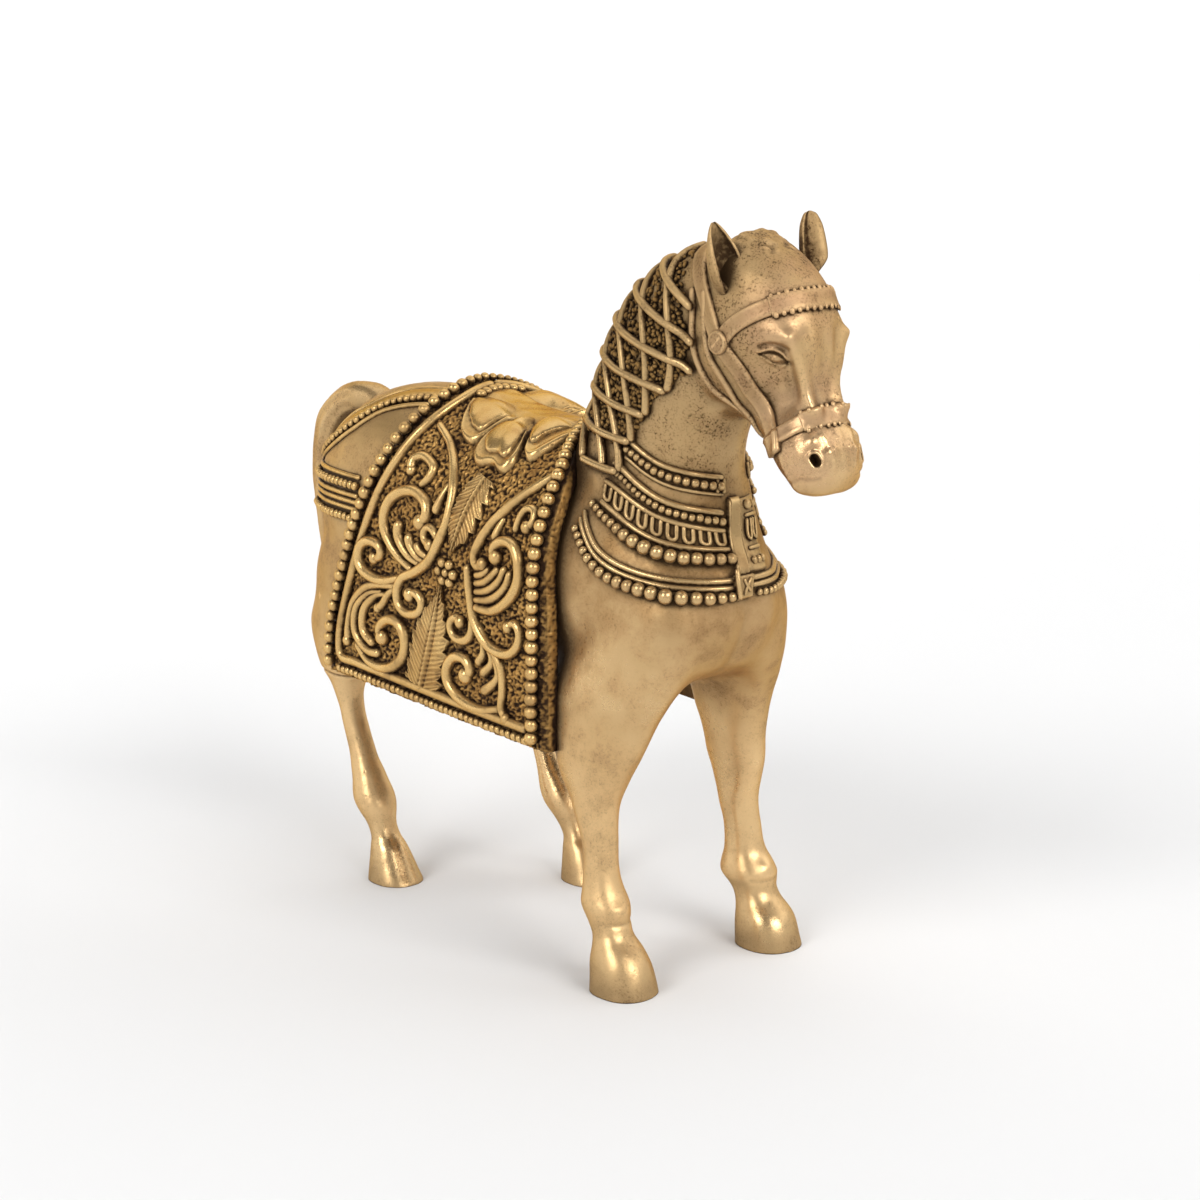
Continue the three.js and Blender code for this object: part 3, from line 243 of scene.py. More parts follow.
def sheet_faces(columns, rows):
    """Faces of a closed sheet whose top points are numbered before its base points."""
    index = np.arange(columns * rows).reshape(columns, rows)
    cells = np.stack([index[:-1, :-1], index[1:, :-1], index[1:, 1:], index[:-1, 1:]], -1).reshape(-1, 4)
    rim = np.concatenate([index[:-1, 0], index[-1, :-1], index[:0:-1, -1], index[0, :0:-1]])
    under = index.size
    faces = cells.tolist() + (cells[:, ::-1] + under).tolist()
    return faces + [[a, a + under, b + under, b] for a, b in zip(rim, np.roll(rim, -1))]


class Shape:
    """Points and faces of one piece, gathered from closed bodies."""

    def __init__(self):
        self.points, self.faces, self.count = [], [], 0

    def add(self, body):
        points, faces = body
        self.points.append(np.asarray(points, float))
        self.faces += [[i + self.count for i in face] for face in faces]
        self.count += len(points)
        return self

    def arrays(self):
        return np.concatenate(self.points), self.faces


def mesh_from(name, points, faces, outward=True):
    mesh = bpy.data.meshes.new(name)
    mesh.from_pydata(np.asarray(points).tolist(), [], faces)
    if outward:
        bm = bmesh.new()
        bm.from_mesh(mesh)
        bmesh.ops.recalc_face_normals(bm, faces=bm.faces)
        bm.to_mesh(mesh)
        bm.free()
    mesh.polygons.foreach_set("use_smooth", [True] * len(mesh.polygons))
    return mesh


def new_object(name, mesh):
    obj = bpy.data.objects.new(name, mesh)
    bpy.context.scene.collection.objects.link(obj)
    return obj


def piece(name, shape, material, slot, *nodes):
    """One finished piece that rides on the body and stands for its CAD nodes."""
    points, faces = shape.arrays()
    mesh = mesh_from(name, to_world(points), faces)
    mesh.materials.append(material)
    obj = new_object(name, mesh)
    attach(obj, "root")
    if nodes:
        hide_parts(*nodes)
    return obj


# Zones of tone, roughness and painted shade in metres of the imported frame, each from its start to where it
# is full
SOLE_ZONE, HOOF_ZONE, LEG_ZONE = (0.001, 0.006), (0.016, 0.003), (0.06, 0.04)
UPPER_ZONE, NECK_ZONE, POLL_ZONE = (0.085, 0.125), (0.115, 0.135), (0.137, 0.146)
FACE_ZONE, BEHIND_FACE_ZONE, BREAST_ZONE = (0.083, 0.07), (0.086, 0.07), (0.055, 0.078)
BIB_LOW_ZONE, BIB_HIGH_ZONE, BIB_FRONT_ZONE = (0.066, 0.09), (0.112, 0.1), (0.028, 0.042)
BLUSH_COLOUR = (0.5, 0.29, 0.18)
SHADE_REACH = 0.022
DULLED = 0.08
BUMP_DEPTH = 0.00025


def toned(colour, red, green, blue):
    return tuple(min(1, part * factor) for part, factor in zip(colour, (red, green, blue)))


# Materials: aged brass with brown patina and painted shade in the hollows, worn bright on the raised places
def brass(name, light, deep, patina_and_shade, dirt, reach, roughness, grain, metallic, open_sky=0.92, shade=0.0,
          freckle=0.0, blush=0.0, relief_shade_strength=0.0, rubbed=0.1):
    material = bpy.data.materials.new(name)
    material.use_nodes = True
    nodes, links = material.node_tree.nodes, material.node_tree.links
    nodes.clear()

    def node(kind, **values):
        made = nodes.new(kind)
        for key, value in values.items():
            setattr(made, key, value)
        return made

    def link(source, target):
        links.new(source, target)

    def noise_at(scale, detail, rough=0.55):
        made = node("ShaderNodeTexNoise")
        made.inputs["Scale"].default_value = scale
        made.inputs["Detail"].default_value = detail
        made.inputs["Roughness"].default_value = rough
        link(place.outputs["Object"], made.inputs["Vector"])
        return made.outputs["Fac"]

    def remap(source, low, high, to_low=0.0, to_high=1.0):
        made = node("ShaderNodeMapRange", clamp=True)
        ends = {"From Min": low, "From Max": high, "To Min": to_low, "To Max": to_high}
        for key, value in ends.items():
            made.inputs[key].default_value = value
        link(source, made.inputs["Value"])
        return made.outputs["Result"]

    def math_of(kind, a, b):
        made = node("ShaderNodeMath", operation=kind, use_clamp=kind != "SUBTRACT")
        for socket, value in zip(made.inputs, (a, b)):
            if isinstance(value, (int, float)):
                socket.default_value = value
            else:
                link(value, socket)
        return made.outputs[0]

    def times(a, b):
        return math_of("MULTIPLY", a, b)

    def plus(a, b):
        return math_of("ADD", a, b)

    def mix(fac, a, b):
        made = node("ShaderNodeMix", data_type="RGBA")
        link(fac, made.inputs["Factor"])
        for socket, value in ((made.inputs[6], a), (made.inputs[7], b)):
            if isinstance(value, tuple):
                socket.default_value = (*value, 1)
            else:
                link(value, socket)
        return made.outputs[2]

    def occlusion(distance):
        made = node("ShaderNodeAmbientOcclusion", samples=8)
        made.inputs["Distance"].default_value = distance
        return made.outputs["AO"]

    place = node("ShaderNodeTexCoord")
    split = node("ShaderNodeSeparateXYZ")
    link(place.outputs["Object"], split.inputs[0])
    forward, upward = split.outputs["X"], split.outputs["Z"]
    pointiness = node("ShaderNodeNewGeometry").outputs["Pointiness"]

    broad = noise_at(38, 3)
    blotch = noise_at(150, 5, 0.65)
    speck = noise_at(900, 4, 0.6)
    fine = noise_at(2600, 3)
    cell = node("ShaderNodeTexVoronoi", feature="F1")
    cell.inputs["Scale"].default_value = 620
    link(place.outputs["Object"], cell.inputs["Vector"])

    # Soot and painted shade: patina with painted shade in the hollows, dents, stains, pits, freckles, painted
    # shade in the low places of the cloth's ground and painted shade in closed-in places
    hollow = times(remap(occlusion(reach), open_sky, open_sky - 0.5), remap(upward, *SOLE_ZONE))
    dent = remap(pointiness, 0.5, 0.44)
    stain = times(remap(blotch, 0.5, 0.72), remap(broad, 0.4, 0.62))
    pit = times(remap(cell.outputs["Distance"], 0.22, 0.1), remap(blotch, 0.5, 0.6))
    soot_and_shade = plus(times(hollow, 1.15), times(dent, 0.5))
    soot_and_shade = times(soot_and_shade, remap(speck, 0.3, 0.62, 0.55, 1.25))
    soot_and_shade = plus(soot_and_shade, times(math_of("MAXIMUM", stain, pit), dirt))
    if freckle:
        upper = remap(upward, *UPPER_ZONE, 0.2, 1)
        dots = times(remap(noise_at(2100, 6, 0.7), 0.53, 0.61), remap(blotch, 0.4, 0.6, 0.1, 1))
        coarse = times(remap(speck, 0.58, 0.68), remap(blotch, 0.45, 0.62))
        dots = math_of("MAXIMUM", dots, times(coarse, 0.8))
        dots = times(dots, remap(forward, *FACE_ZONE, 0.45, 1))
        soot_and_shade = plus(soot_and_shade, times(times(dots, upper), freckle))
    # Painted shade with patina in the low places of the cloth's ground, its front wall and inner face, and a
    # darker strip along its front edge, read from a value stored on each point
    if relief_shade_strength:
        relief_shade = node("ShaderNodeAttribute", attribute_name="relief_shade")
        soot_and_shade = plus(soot_and_shade, times(remap(relief_shade.outputs["Fac"], 0.5, 0.1), relief_shade_strength))
    # Painted shade: broad darkening where the surface is closed in by the body and its trappings
    if shade:
        soot_and_shade = plus(soot_and_shade, times(remap(occlusion(SHADE_REACH), 0.85, 0.3), shade))

    # Ground: the brass itself, from bright to deep, with the painted shade of the band under the breast
    # collar
    ground = mix(remap(broad, 0.36, 0.64), light, deep)
    ground = mix(times(remap(blotch, 0.42, 0.7), 0.55), ground, toned(deep, 1, 0.86, 0.82))
    if freckle:
        behind = times(upper, remap(forward, *BEHIND_FACE_ZONE))
        ground = mix(times(behind, 0.62), ground, toned(deep, 0.66, 0.66, 0.66))
    if blush:
        ahead = times(remap(forward, *BREAST_ZONE), remap(noise_at(70, 3), 0.42, 0.6))
        ground = mix(times(ahead, blush), ground, BLUSH_COLOUR)
        # Bib: darker and rougher between the collars, with painted shade in the band just under the breast
        # collar
        bib = times(remap(upward, *BIB_LOW_ZONE), remap(upward, *BIB_HIGH_ZONE))
        bib = times(bib, remap(forward, *BIB_FRONT_ZONE))
        bib = times(bib, remap(blotch, 0.35, 0.6, 0.55, 0.9))
        ground = mix(bib, ground, toned(deep, 0.62, 0.54, 0.46))
        ground = mix(times(remap(upward, *LEG_ZONE), 0.6), ground, toned(light, 1.15, 1.15, 1.15))
    ground = mix(times(remap(pointiness, 0.505, 0.56), 0.6), ground, toned(light, 1.25, 1.25, 1.25))
    ground = mix(times(remap(upward, *HOOF_ZONE), 0.35), ground, toned(deep, 0.7, 0.7, 0.7))
    colour = mix(soot_and_shade, ground, patina_and_shade)

    shader = node("ShaderNodeBsdfPrincipled")
    link(colour, shader.inputs["Base Color"])
    link(remap(soot_and_shade, 0, 1, metallic, 0.15), shader.inputs["Metallic"])
    polish = remap(speck, 0.3, 0.7, roughness - 0.06, roughness + 0.06)
    dull = plus(times(remap(upward, *NECK_ZONE), DULLED), times(remap(upward, *POLL_ZONE), DULLED * 1.5))
    polish = plus(plus(polish, dull), remap(broad, 0.36, 0.62, 0, rubbed))
    if blush:
        polish = plus(polish, times(bib, 0.2))
    link(plus(polish, times(soot_and_shade, 0.25)), shader.inputs["Roughness"])
    shader.inputs["Specular Tint"].default_value = (*light, 1)

    height = plus(times(fine, 0.35), times(speck, 0.65))
    height = math_of("SUBTRACT", height, times(pit, 0.8))
    bump = node("ShaderNodeBump")
    bump.inputs["Strength"].default_value = grain
    bump.inputs["Distance"].default_value = BUMP_DEPTH
    link(height, bump.inputs["Height"])
    link(bump.outputs["Normal"], shader.inputs["Normal"])
    output = node("ShaderNodeOutputMaterial")
    link(shader.outputs["BSDF"], output.inputs["Surface"])
    return material


# Each brass: light, deep, and patina and painted shade colour, dirt, reach of the hollows, roughness, grain,
# metallic share
BODY_BRASS = brass("body_brass", (0.72, 0.495, 0.25), (0.56, 0.37, 0.17), (0.055, 0.03, 0.013),
                   0.28, 0.005, 0.26, 0.3, 0.88, shade=0.9, freckle=1.1, blush=0.4, rubbed=0.16)
EAR_BRASS = brass("ear_brass", (0.66, 0.45, 0.22), (0.52, 0.34, 0.155), (0.045, 0.022, 0.01),
                  0.42, 0.008, 0.34, 0.3, 0.88, open_sky=0.97, freckle=0.8)
CLOTH_BRASS = brass("cloth_brass", (0.62, 0.36, 0.115), (0.36, 0.19, 0.055), (0.018, 0.009, 0.007),
                    0.45, 0.0026, 0.34, 0.4, 0.85, open_sky=0.98, relief_shade_strength=0.9)
TRIM_BRASS = brass("trim_brass", (0.71, 0.475, 0.2), (0.5, 0.3, 0.105), (0.04, 0.019, 0.009),
                   0.45, 0.003, 0.22, 0.3, 0.9, open_sky=0.95)
COLLAR_BRASS = brass("collar_brass", (0.6, 0.41, 0.195), (0.47, 0.305, 0.135), (0.04, 0.019, 0.009),
                     0.5, 0.003, 0.26, 0.3, 0.88, open_sky=0.97, freckle=0.5)
BRIDLE_BRASS = brass("bridle_brass", (0.62, 0.42, 0.215), (0.5, 0.32, 0.15), (0.055, 0.028, 0.014),
                     0.45, 0.003, 0.34, 0.3, 0.85, freckle=0.8, blush=0.4)
# Dark brass of the curls: painted shade and patina in the cells of the net
MANE_SHADE_BRASS = brass("mane_shade_brass", (0.34, 0.2, 0.07), (0.18, 0.095, 0.03), (0.012, 0.007, 0.005),
                   0.7, 0.003, 0.4, 0.4, 0.8, open_sky=0.98)


def trim(name, shape, node):
    return piece(name, shape, TRIM_BRASS, "ornament_brass", node)


def collar(name, shape, node):
    return piece(name, shape, COLLAR_BRASS, "ornament_brass", node)


def bridle(name, shape, node):
    return piece(name, shape, BRIDLE_BRASS, "bridle_brass", node)


# Body forms from the tables
def section_loft(rows, steps, sides):
    read = smooth_table(rows)
    upper_x, upper_z, lower_x, lower_z, half = read(np.linspace(rows[0][0], rows[-1][0], steps)).T
    zero = np.zeros(steps)
    upper = np.column_stack([upper_x, zero, upper_z])
    centre = (upper + np.column_stack([lower_x, zero, lower_z])) / 2
    return loft(ring_stack(centre, np.column_stack([zero, half, zero]), upper - centre, sides))


def leg_loft(rows, side, step):
    read = smooth_table([(-z, *rest) for z, *rest in rows])
    height = np.linspace(rows[0][0], -SOLE_SPARE, 150)
    x, y, length, width = read(-height).T
    x = x + smooth_table(step)(height)[:, 0]
    zero = np.zeros(len(x))
    centre = np.column_stack([x, side * y, height])
    across = np.column_stack([length, zero, zero])
    return loft(ring_stack(centre, across, np.column_stack([zero, width, zero]), 40))


def tail_line():
    """Middle line of the tail and its radius."""
    rows = np.array(TAIL, float)
    reach = np.concatenate([[0], np.cumsum(np.hypot(*np.diff(rows[:, :2], axis=0).T))])
    line = smooth_table(np.column_stack([reach, rows]))(np.linspace(0, reach[-1], 110))
    return np.column_stack([line[:, 0], np.zeros(len(line)), line[:, 1]]), line[:, 2:]


def tail_loft():
    centre, radius = tail_line()
    along = unit(np.gradient(centre, axis=0))
    across = np.tile([0.0, 1, 0], (len(centre), 1))
    return loft(ring_stack(centre, across * radius, np.cross(across, along) * radius, 28))


torso_body = section_loft([(x, x, top, x, belly, half) for x, top, belly, half in TORSO], 110, 64)
body_parts = [torso_body, section_loft(NECK, 90, 56), section_loft(HEAD, 90, 56), tail_loft()]
NO_STEP = [(0, 0), (92, 0)]
body_parts += [leg_loft(FORELEG_RIGHT, -1, NO_STEP), leg_loft(FORELEG_LEFT, 1, NO_STEP)]
body_parts += [leg_loft(HINDLEG, -1, NO_STEP), leg_loft(HINDLEG, 1, HIND_STEP)]


def remeshed(parts):
    """One skin over overlapping bodies."""
    shape = Shape()
    for part in parts:
        shape.add(part)
    raw = new_object("raw_skin", mesh_from("raw_skin", *shape.arrays()))
    modifier = raw.modifiers.new("skin", "REMESH")
    modifier.mode = "VOXEL"
    modifier.voxel_size = VOXEL
    bpy.context.view_layer.update()
    mesh = bpy.data.meshes.new_from_object(raw.evaluated_get(bpy.context.evaluated_depsgraph_get()))
    bpy.data.objects.remove(raw)
    return mesh


def mesh_points(mesh, what="co"):
    values = np.empty(len(mesh.vertices) * 3, np.float32)
    mesh.vertices.foreach_get(what, values)
    return values.reshape(-1, 3).astype(float)


def set_points(mesh, points):
    mesh.vertices.foreach_set("co", points.astype(np.float32).ravel())
    mesh.update()


def relax(mesh, weight, rounds):
    """Draws each point towards its neighbours by its weight."""
    points = mesh_points(mesh)
    edges = np.empty(len(mesh.edges) * 2, np.int32)
    mesh.edges.foreach_get("vertices", edges)
    edges = edges.reshape(-1, 2)
    weight = np.where(weight > 0.02, weight, 0)
    a, b = edges[(weight[edges] > 0).any(1)].T
    count = np.maximum(np.bincount(np.concatenate([a, b]), minlength=len(points)), 1)
    for _ in range(rounds):
        for axis in range(3):
            value = points[:, axis]
            total = np.bincount(a, value[b], len(points)) + np.bincount(b, value[a], len(points))
            points[:, axis] = value + (total / count - value) * weight * 0.5
    set_points(mesh, points)


def cut_soles(mesh):
    """Cuts the legs off flat at the floor."""
    bm = bmesh.new()
    bm.from_mesh(mesh)
    everything = bm.verts[:] + bm.edges[:] + bm.faces[:]
    bmesh.ops.bisect_plane(bm, geom=everything, plane_co=(0, 0, 0), plane_no=(0, 0, 1), clear_inner=True)
    bmesh.ops.holes_fill(bm, edges=[e for e in bm.edges if e.is_boundary], sides=0)
    bm.to_mesh(mesh)
    bm.free()


def join_weight(points, parts, reach):
    """How near each point is to a second body part, from 0 to 1, by whole millimetres."""
    distance = np.full((len(parts), len(points)), reach, int)
    for number, (part_points, part_faces) in enumerate(parts):
        tree = BVHTree.FromPolygons(part_points.tolist(), part_faces)
        low, high = part_points.min(0) - reach, part_points.max(0) + reach
        for i in np.nonzero(((points > low) & (points < high)).all(1))[0]:
            hit = tree.find_nearest(points[i], reach)
            if hit[3] is not None:
                distance[number, i] = hit[3]
    second = np.sort(distance, axis=0)[1]
    return np.clip(1 - second / reach, 0, 1)


def line_distance(points, line):
    best = np.full(len(points), 1e9)
    for a, b in zip(line[:-1], line[1:]):
        along = b - a
        share = np.clip((points - a) @ along / (along @ along), 0, 1)
        best = np.minimum(best, np.linalg.norm(points - a - share[:, None] * along, axis=1))
    return best


# Sculpted forms, drawn for the left and mirrored: place near the skin, radii, height
SWELLS = [
    ((114.4, 9.2, 133.7), (4.6, 4, 3.4), -1), ((115, 8.8, 133.6), (2.1, 1.9, 1.35), 1.35),
    ((117.2, 7.4, 132.8), (0.8, 0.8, 0.7), -0.7), ((111.8, 10.4, 134.3), (0.8, 0.8, 0.5), -0.4),
    ((115.6, 8.8, 138), (4.4, 3.6, 3.2), 1.15), ((113, 9, 126.5), (5, 4, 6.5), -1.2),
    ((117.4, 7.4, 128.5), (2.4, 2.6, 6.5), -1), ((99.5, 12, 131), (8, 5, 8), 0.25),
    ((125.1, 4, 116.6), (1.3, 1.3, 1.1), 0.45), ((125.2, 2, 117.2), (1.1, 1.1, 1), 0.35),
    ((122.4, 5.6, 118.6), (1.6, 1.8, 2.2), 0.6), ((119.6, 0, 131.5), (4, 2.6, 9), -1.2),
    ((121.4, 7.2, 109.4), (4, 2.6, 1.6), 0.35), ((97, 6.5, 78), (8, 5, 9), 0.6),
    ((78, 22, 84), (12, 6, 9), 0.45), ((-24, 14, 96), (10, 7, 9), 0.4),
    ((84.9, 20.8, 17.2), (2, 2.6, 1.6), 0.5), ((75, 21, 17), (2.4, 3, 2.2), 0.4),
    ((101, 3, 156), (6, 6, 4), 0.3), ((86, 20.4, 40), (3, 4, 6), 0.25), ((67, 20.5, 62), (6, 5, 12), 0.4),
]
# Ridges and grooves: line near the skin, radius, height
LINES = [
    ([(111.8, 10.4, 134.6), (114.1, 9.1, 135.6), (116, 8, 135), (117.1, 7.4, 133.1)], 0.5, 0.5),
    ([(111.9, 10.4, 134.2), (114.1, 9.1, 135), (115.9, 8.1, 134.4), (116.9, 7.5, 133)], 0.26, -0.42),
    ([(112.2, 10.2, 133.7), (114, 9, 132.2), (115.7, 8.2, 131.7), (117, 7.4, 132.6)], 0.45, 0.18),
    ([(112.6, 10.1, 133.9), (114, 9, 132.9), (115.7, 8.2, 132.5), (116.8, 7.5, 132.8)], 0.22, -0.22),
    ([(112.2, 10.3, 136), (114.8, 9, 136.7), (117.2, 7.6, 135.7)], 0.55, -0.4),
    ([(117.6, 7.4, 138), (119, 6.1, 133), (119.7, 4.8, 127.5), (121, 4, 124)], 1.4, 1.5),
    ([(118, 4, 138.5), (119.6, 3, 132), (120.6, 2.2, 126)], 1.2, -0.35),
    ([(118.2, 7.6, 110), (121.6, 7.7, 111.4), (124.4, 5.4, 111.8)], 0.5, -0.28),
    ([(122.6, 3.6, 120), (124.4, 3.2, 117), (125.4, 3, 114)], 0.6, 0.2),
    ([(122.4, 1.6, 121), (124.6, 1.3, 117.6), (125.8, 1.1, 114)], 0.6, -0.15),
    ([(121.5, 0, 107), (119, 4, 107.6), (116, 6, 109.6)], 1.2, -0.4),
    ([(116.6, 7.6, 116.6), (118.4, 8, 112), (120.4, 7.4, 109)], 1.1, 0.3),
    ([(94, 10.6, 142), (92, 11, 132), (96.5, 10, 122.5), (103, 8, 117)], 1.6, -0.5),
    ([(99.4, 0, 84), (97.4, -0.4, 76), (92, -0.8, 66)], 3.4, -1.1),
    ([(83.6, 17, 14.6), (85.6, 20.8, 14.2), (83.6, 24.6, 14.6)], 0.45, -0.35),
    ([(105.6, 3.4, 155), (107.2, 2, 154.6), (108.4, 3.2, 154)], 0.4, -0.55),
]
NOSTRIL = [(123.6, 6.2, 115.6), (124.1, 6, 114.9)]
NOSTRIL_RADIUS, NOSTRIL_RIM, NOSTRIL_DEPTH = 0.7, 0.3, 2.4
TAIL_STRANDS, STRAND_RISE = 9, 0.13
# Uneven places: waves, shortest and longest wave, height
UNEVEN_SKIN, UNEVEN_POLL = (26, 5, 16, 0.07), (20, 1.6, 4, 0.22)
POLL_AT, POLL_RADII = (101, 0, 155), (8, 8, 5)
# Blending where body parts join, and on the breast: reach and power, rounds, middle and radius in x and z
JOIN_REACH, JOIN_POWER, JOIN_ROUNDS = 7, 1.5, 90
BREAST_X, BREAST_Z, BREAST_ROUNDS = (92, 14), (69, 18), 150
DETAIL_SPOTS = [
    ((115, 9, 134.5), 6.5), ((123.5, 5.6, 115.8), 4.6), ((121, 6.4, 110.8), 5.4), ((118, 6, 137), 4.5),
]
FINE_SPOTS = [((114.8, 9, 133.8), 4), ((123.8, 6, 115.2), 2.6)]
# Seam where the right hind leg meets the thigh: height, reach of the fine mesh, depth, half width, slope
SEAM_Z, SEAM_REACH, SEAM_DEPTH, SEAM_HALF, SEAM_SLOPE = 46.6, 1.6, 0.4, 0.3, 0.06
THIGH_REAR, THIGH_MIDDLE, THIGH_FRONT = -34, -20, -8


def on_right_thigh(points):
    return (points[:, 0] < THIGH_FRONT) & (points[:, 0] > THIGH_REAR) & (points[:, 1] < 0)


def fold(points):
    return points * np.where(points[:, 1:2] < 0, [[1, -1, 1]], [[1, 1, 1]])


def detail_mesh(mesh, spots, seam):
    """Splits the faces round the small features of the head and at the hock seam."""
    bm = bmesh.new()
    bm.from_mesh(mesh)
    bm.verts.ensure_lookup_table()
    raw = mesh_points(mesh)
    wanted = np.zeros(len(raw), bool)
    for centre, reach in spots:
        wanted |= np.linalg.norm(fold(raw) - centre, axis=1) < reach
    if seam:
        wanted |= (np.abs(raw[:, 2] - SEAM_Z) < SEAM_REACH) & on_right_thigh(raw)
    edges = [e for e in bm.edges if wanted[e.verts[0].index] and wanted[e.verts[1].index]]
    bmesh.ops.subdivide_edges(bm, edges=edges, cuts=1, use_grid_fill=True)
    bm.to_mesh(mesh)
    bm.free()


def unevenness(points, waves, shortest, longest, height):
    """Gentle random swell of a hand-made surface."""
    total = np.zeros(len(points))
    for _ in range(waves):
        direction = unit(rng.normal(size=3))
        length = rng.uniform(shortest, longest)
        total += np.cos(points @ direction * 2 * np.pi / length + rng.uniform(0, 2 * np.pi))
    return total * height / math.sqrt(waves)


def push(mesh, amount):
    set_points(mesh, mesh_points(mesh) + mesh_points(mesh, "normal") * amount[:, None])


def sculpt(mesh):
    """Raises and sinks the skin for features, nostrils, seam, tail strands and unevenness."""
    tree = BVHTree.FromPolygons(mesh_points(mesh).tolist(), [tuple(p.vertices) for p in mesh.polygons])
    on_skin = lambda places: np.array([tree.find_nearest(Vector(place))[0] for place in places])
    points = fold(mesh_points(mesh))
    amount = np.zeros(len(points))
    for centre, radii, height in SWELLS:
        amount += height * np.exp(-1.4 * (((points - on_skin([centre])) / radii) ** 2).sum(1))
    for line, radius, height in LINES:
        amount += height * np.exp(-(line_distance(points, on_skin(curve_through(line, 0.8))) / radius) ** 2)
    push(mesh, amount)
    relax(mesh, np.ones(len(points)), 1)

    points = mesh_points(mesh)
    hole = line_distance(fold(points), on_skin(NOSTRIL)) / NOSTRIL_RADIUS
    rim = NOSTRIL_RIM * np.exp(-((hole - 1.7) / 0.5) ** 2)
    amount = rim - NOSTRIL_DEPTH * np.clip(1.25 - hole, 0, 1) ** 0.6
    above = points[:, 2] - SEAM_Z + SEAM_SLOPE * (points[:, 0] - THIGH_MIDDLE)
    seam = np.exp(-((above / SEAM_HALF) ** 2))
    amount -= SEAM_DEPTH * seam * on_right_thigh(points)

    centre, _ = tail_line()
    on_tail = (points[:, 0] < -36) & (np.abs(points[:, 1]) < 7) & (points[:, 2] > 48)
    near = np.linalg.norm(points[on_tail][:, None] - centre[None], axis=2).argmin(1)
    along = unit(np.gradient(centre, axis=0))[near]
    away = points[on_tail] - centre[near]
    angle = np.arctan2(away[:, 1], np.einsum("ij,ij->i", away, np.cross(along, [0, 1, 0])))
    sway = 0.07 * near + 0.8 * np.sin(0.09 * near)
    amount[on_tail] += STRAND_RISE * np.sin(TAIL_STRANDS * angle + sway)

    amount += unevenness(points, *UNEVEN_SKIN)
    poll = np.exp(-(((points - POLL_AT) / POLL_RADII) ** 2).sum(1))
    amount += poll * unevenness(points, *UNEVEN_POLL)
    push(mesh, amount)
    points = mesh_points(mesh)
    points[:, 2] = np.maximum(points[:, 2], 0)
    set_points(mesh, points)


skin = remeshed(body_parts)
relax(skin, np.ones(len(skin.vertices)), 3)
weight = join_weight(mesh_points(skin), body_parts, JOIN_REACH)
relax(skin, weight ** JOIN_POWER, JOIN_ROUNDS)
bare = mesh_points(skin)
breast_x = (bare[:, 0] - BREAST_X[0]) / BREAST_X[1]
breast_z = (bare[:, 2] - BREAST_Z[0]) / BREAST_Z[1]
relax(skin, np.exp(-breast_x ** 2 - breast_z ** 2), BREAST_ROUNDS)
cut_soles(skin)
detail_mesh(skin, DETAIL_SPOTS, True)
detail_mesh(skin, FINE_SPOTS, False)
sculpt(skin)
skin_tree = BVHTree.FromPolygons(mesh_points(skin).tolist(), [tuple(p.vertices) for p in skin.polygons])
torso_tree = BVHTree.FromPolygons(torso_body[0].tolist(), torso_body[1])


# Places on a surface, and routes that run through them
def seat(tree, centre, outward, reach=60):
    away = Vector(outward).normalized()
    hit = tree.ray_cast(Vector(centre) + away * reach, -away)
    if hit[0] is None:
        hit = tree.find_nearest(Vector(centre) + away * reach * 0.2)
    return np.array(hit[0]), np.array(hit[1])


class Route:
    """A line on a surface, with its normals, that is read by length."""

    def __init__(self, points, normals, closed=False, soften=2):
        points, normals = np.array(points, float), np.array(normals, float)
        for _ in range(soften):
            for values in (points, normals):
                if closed:
                    values[:] = (np.roll(values, 1, 0) + 2 * values + np.roll(values, -1, 0)) / 4
                else:
                    values[1:-1] = (values[:-2] + 2 * values[1:-1] + values[2:]) / 4
        self.closed = closed
        if closed:
            points, normals = np.vstack([points, points[:1]]), np.vstack([normals, normals[:1]])
        self.points, self.normals = points, unit(normals)
        self.reach = lengths(points)
        self.length = self.reach[-1]

    def read(self, values, s):
        if self.closed:
            s = np.mod(s, self.length)
        return np.column_stack([np.interp(s, self.reach, values[:, axis]) for axis in range(3)])

    def at(self, s):
        """Point, along, normal and across at each length."""
        s = np.atleast_1d(np.asarray(s, float))
        point = self.read(self.points, s)
        low, high = s - 0.4, s + 0.4
        if not self.closed:
            low, high = np.clip(low, 0, self.length), np.clip(high, 0, self.length)
        along = unit(self.read(self.points, high) - self.read(self.points, low))
        across = unit(np.cross(along, self.read(self.normals, s)))
        return point, along, np.cross(across, along), across


def route_of(places, soften, closed=False):
    """Route through places, each a point and its normal."""
    return Route([p for p, n in places], [n for p, n in places], closed, soften)


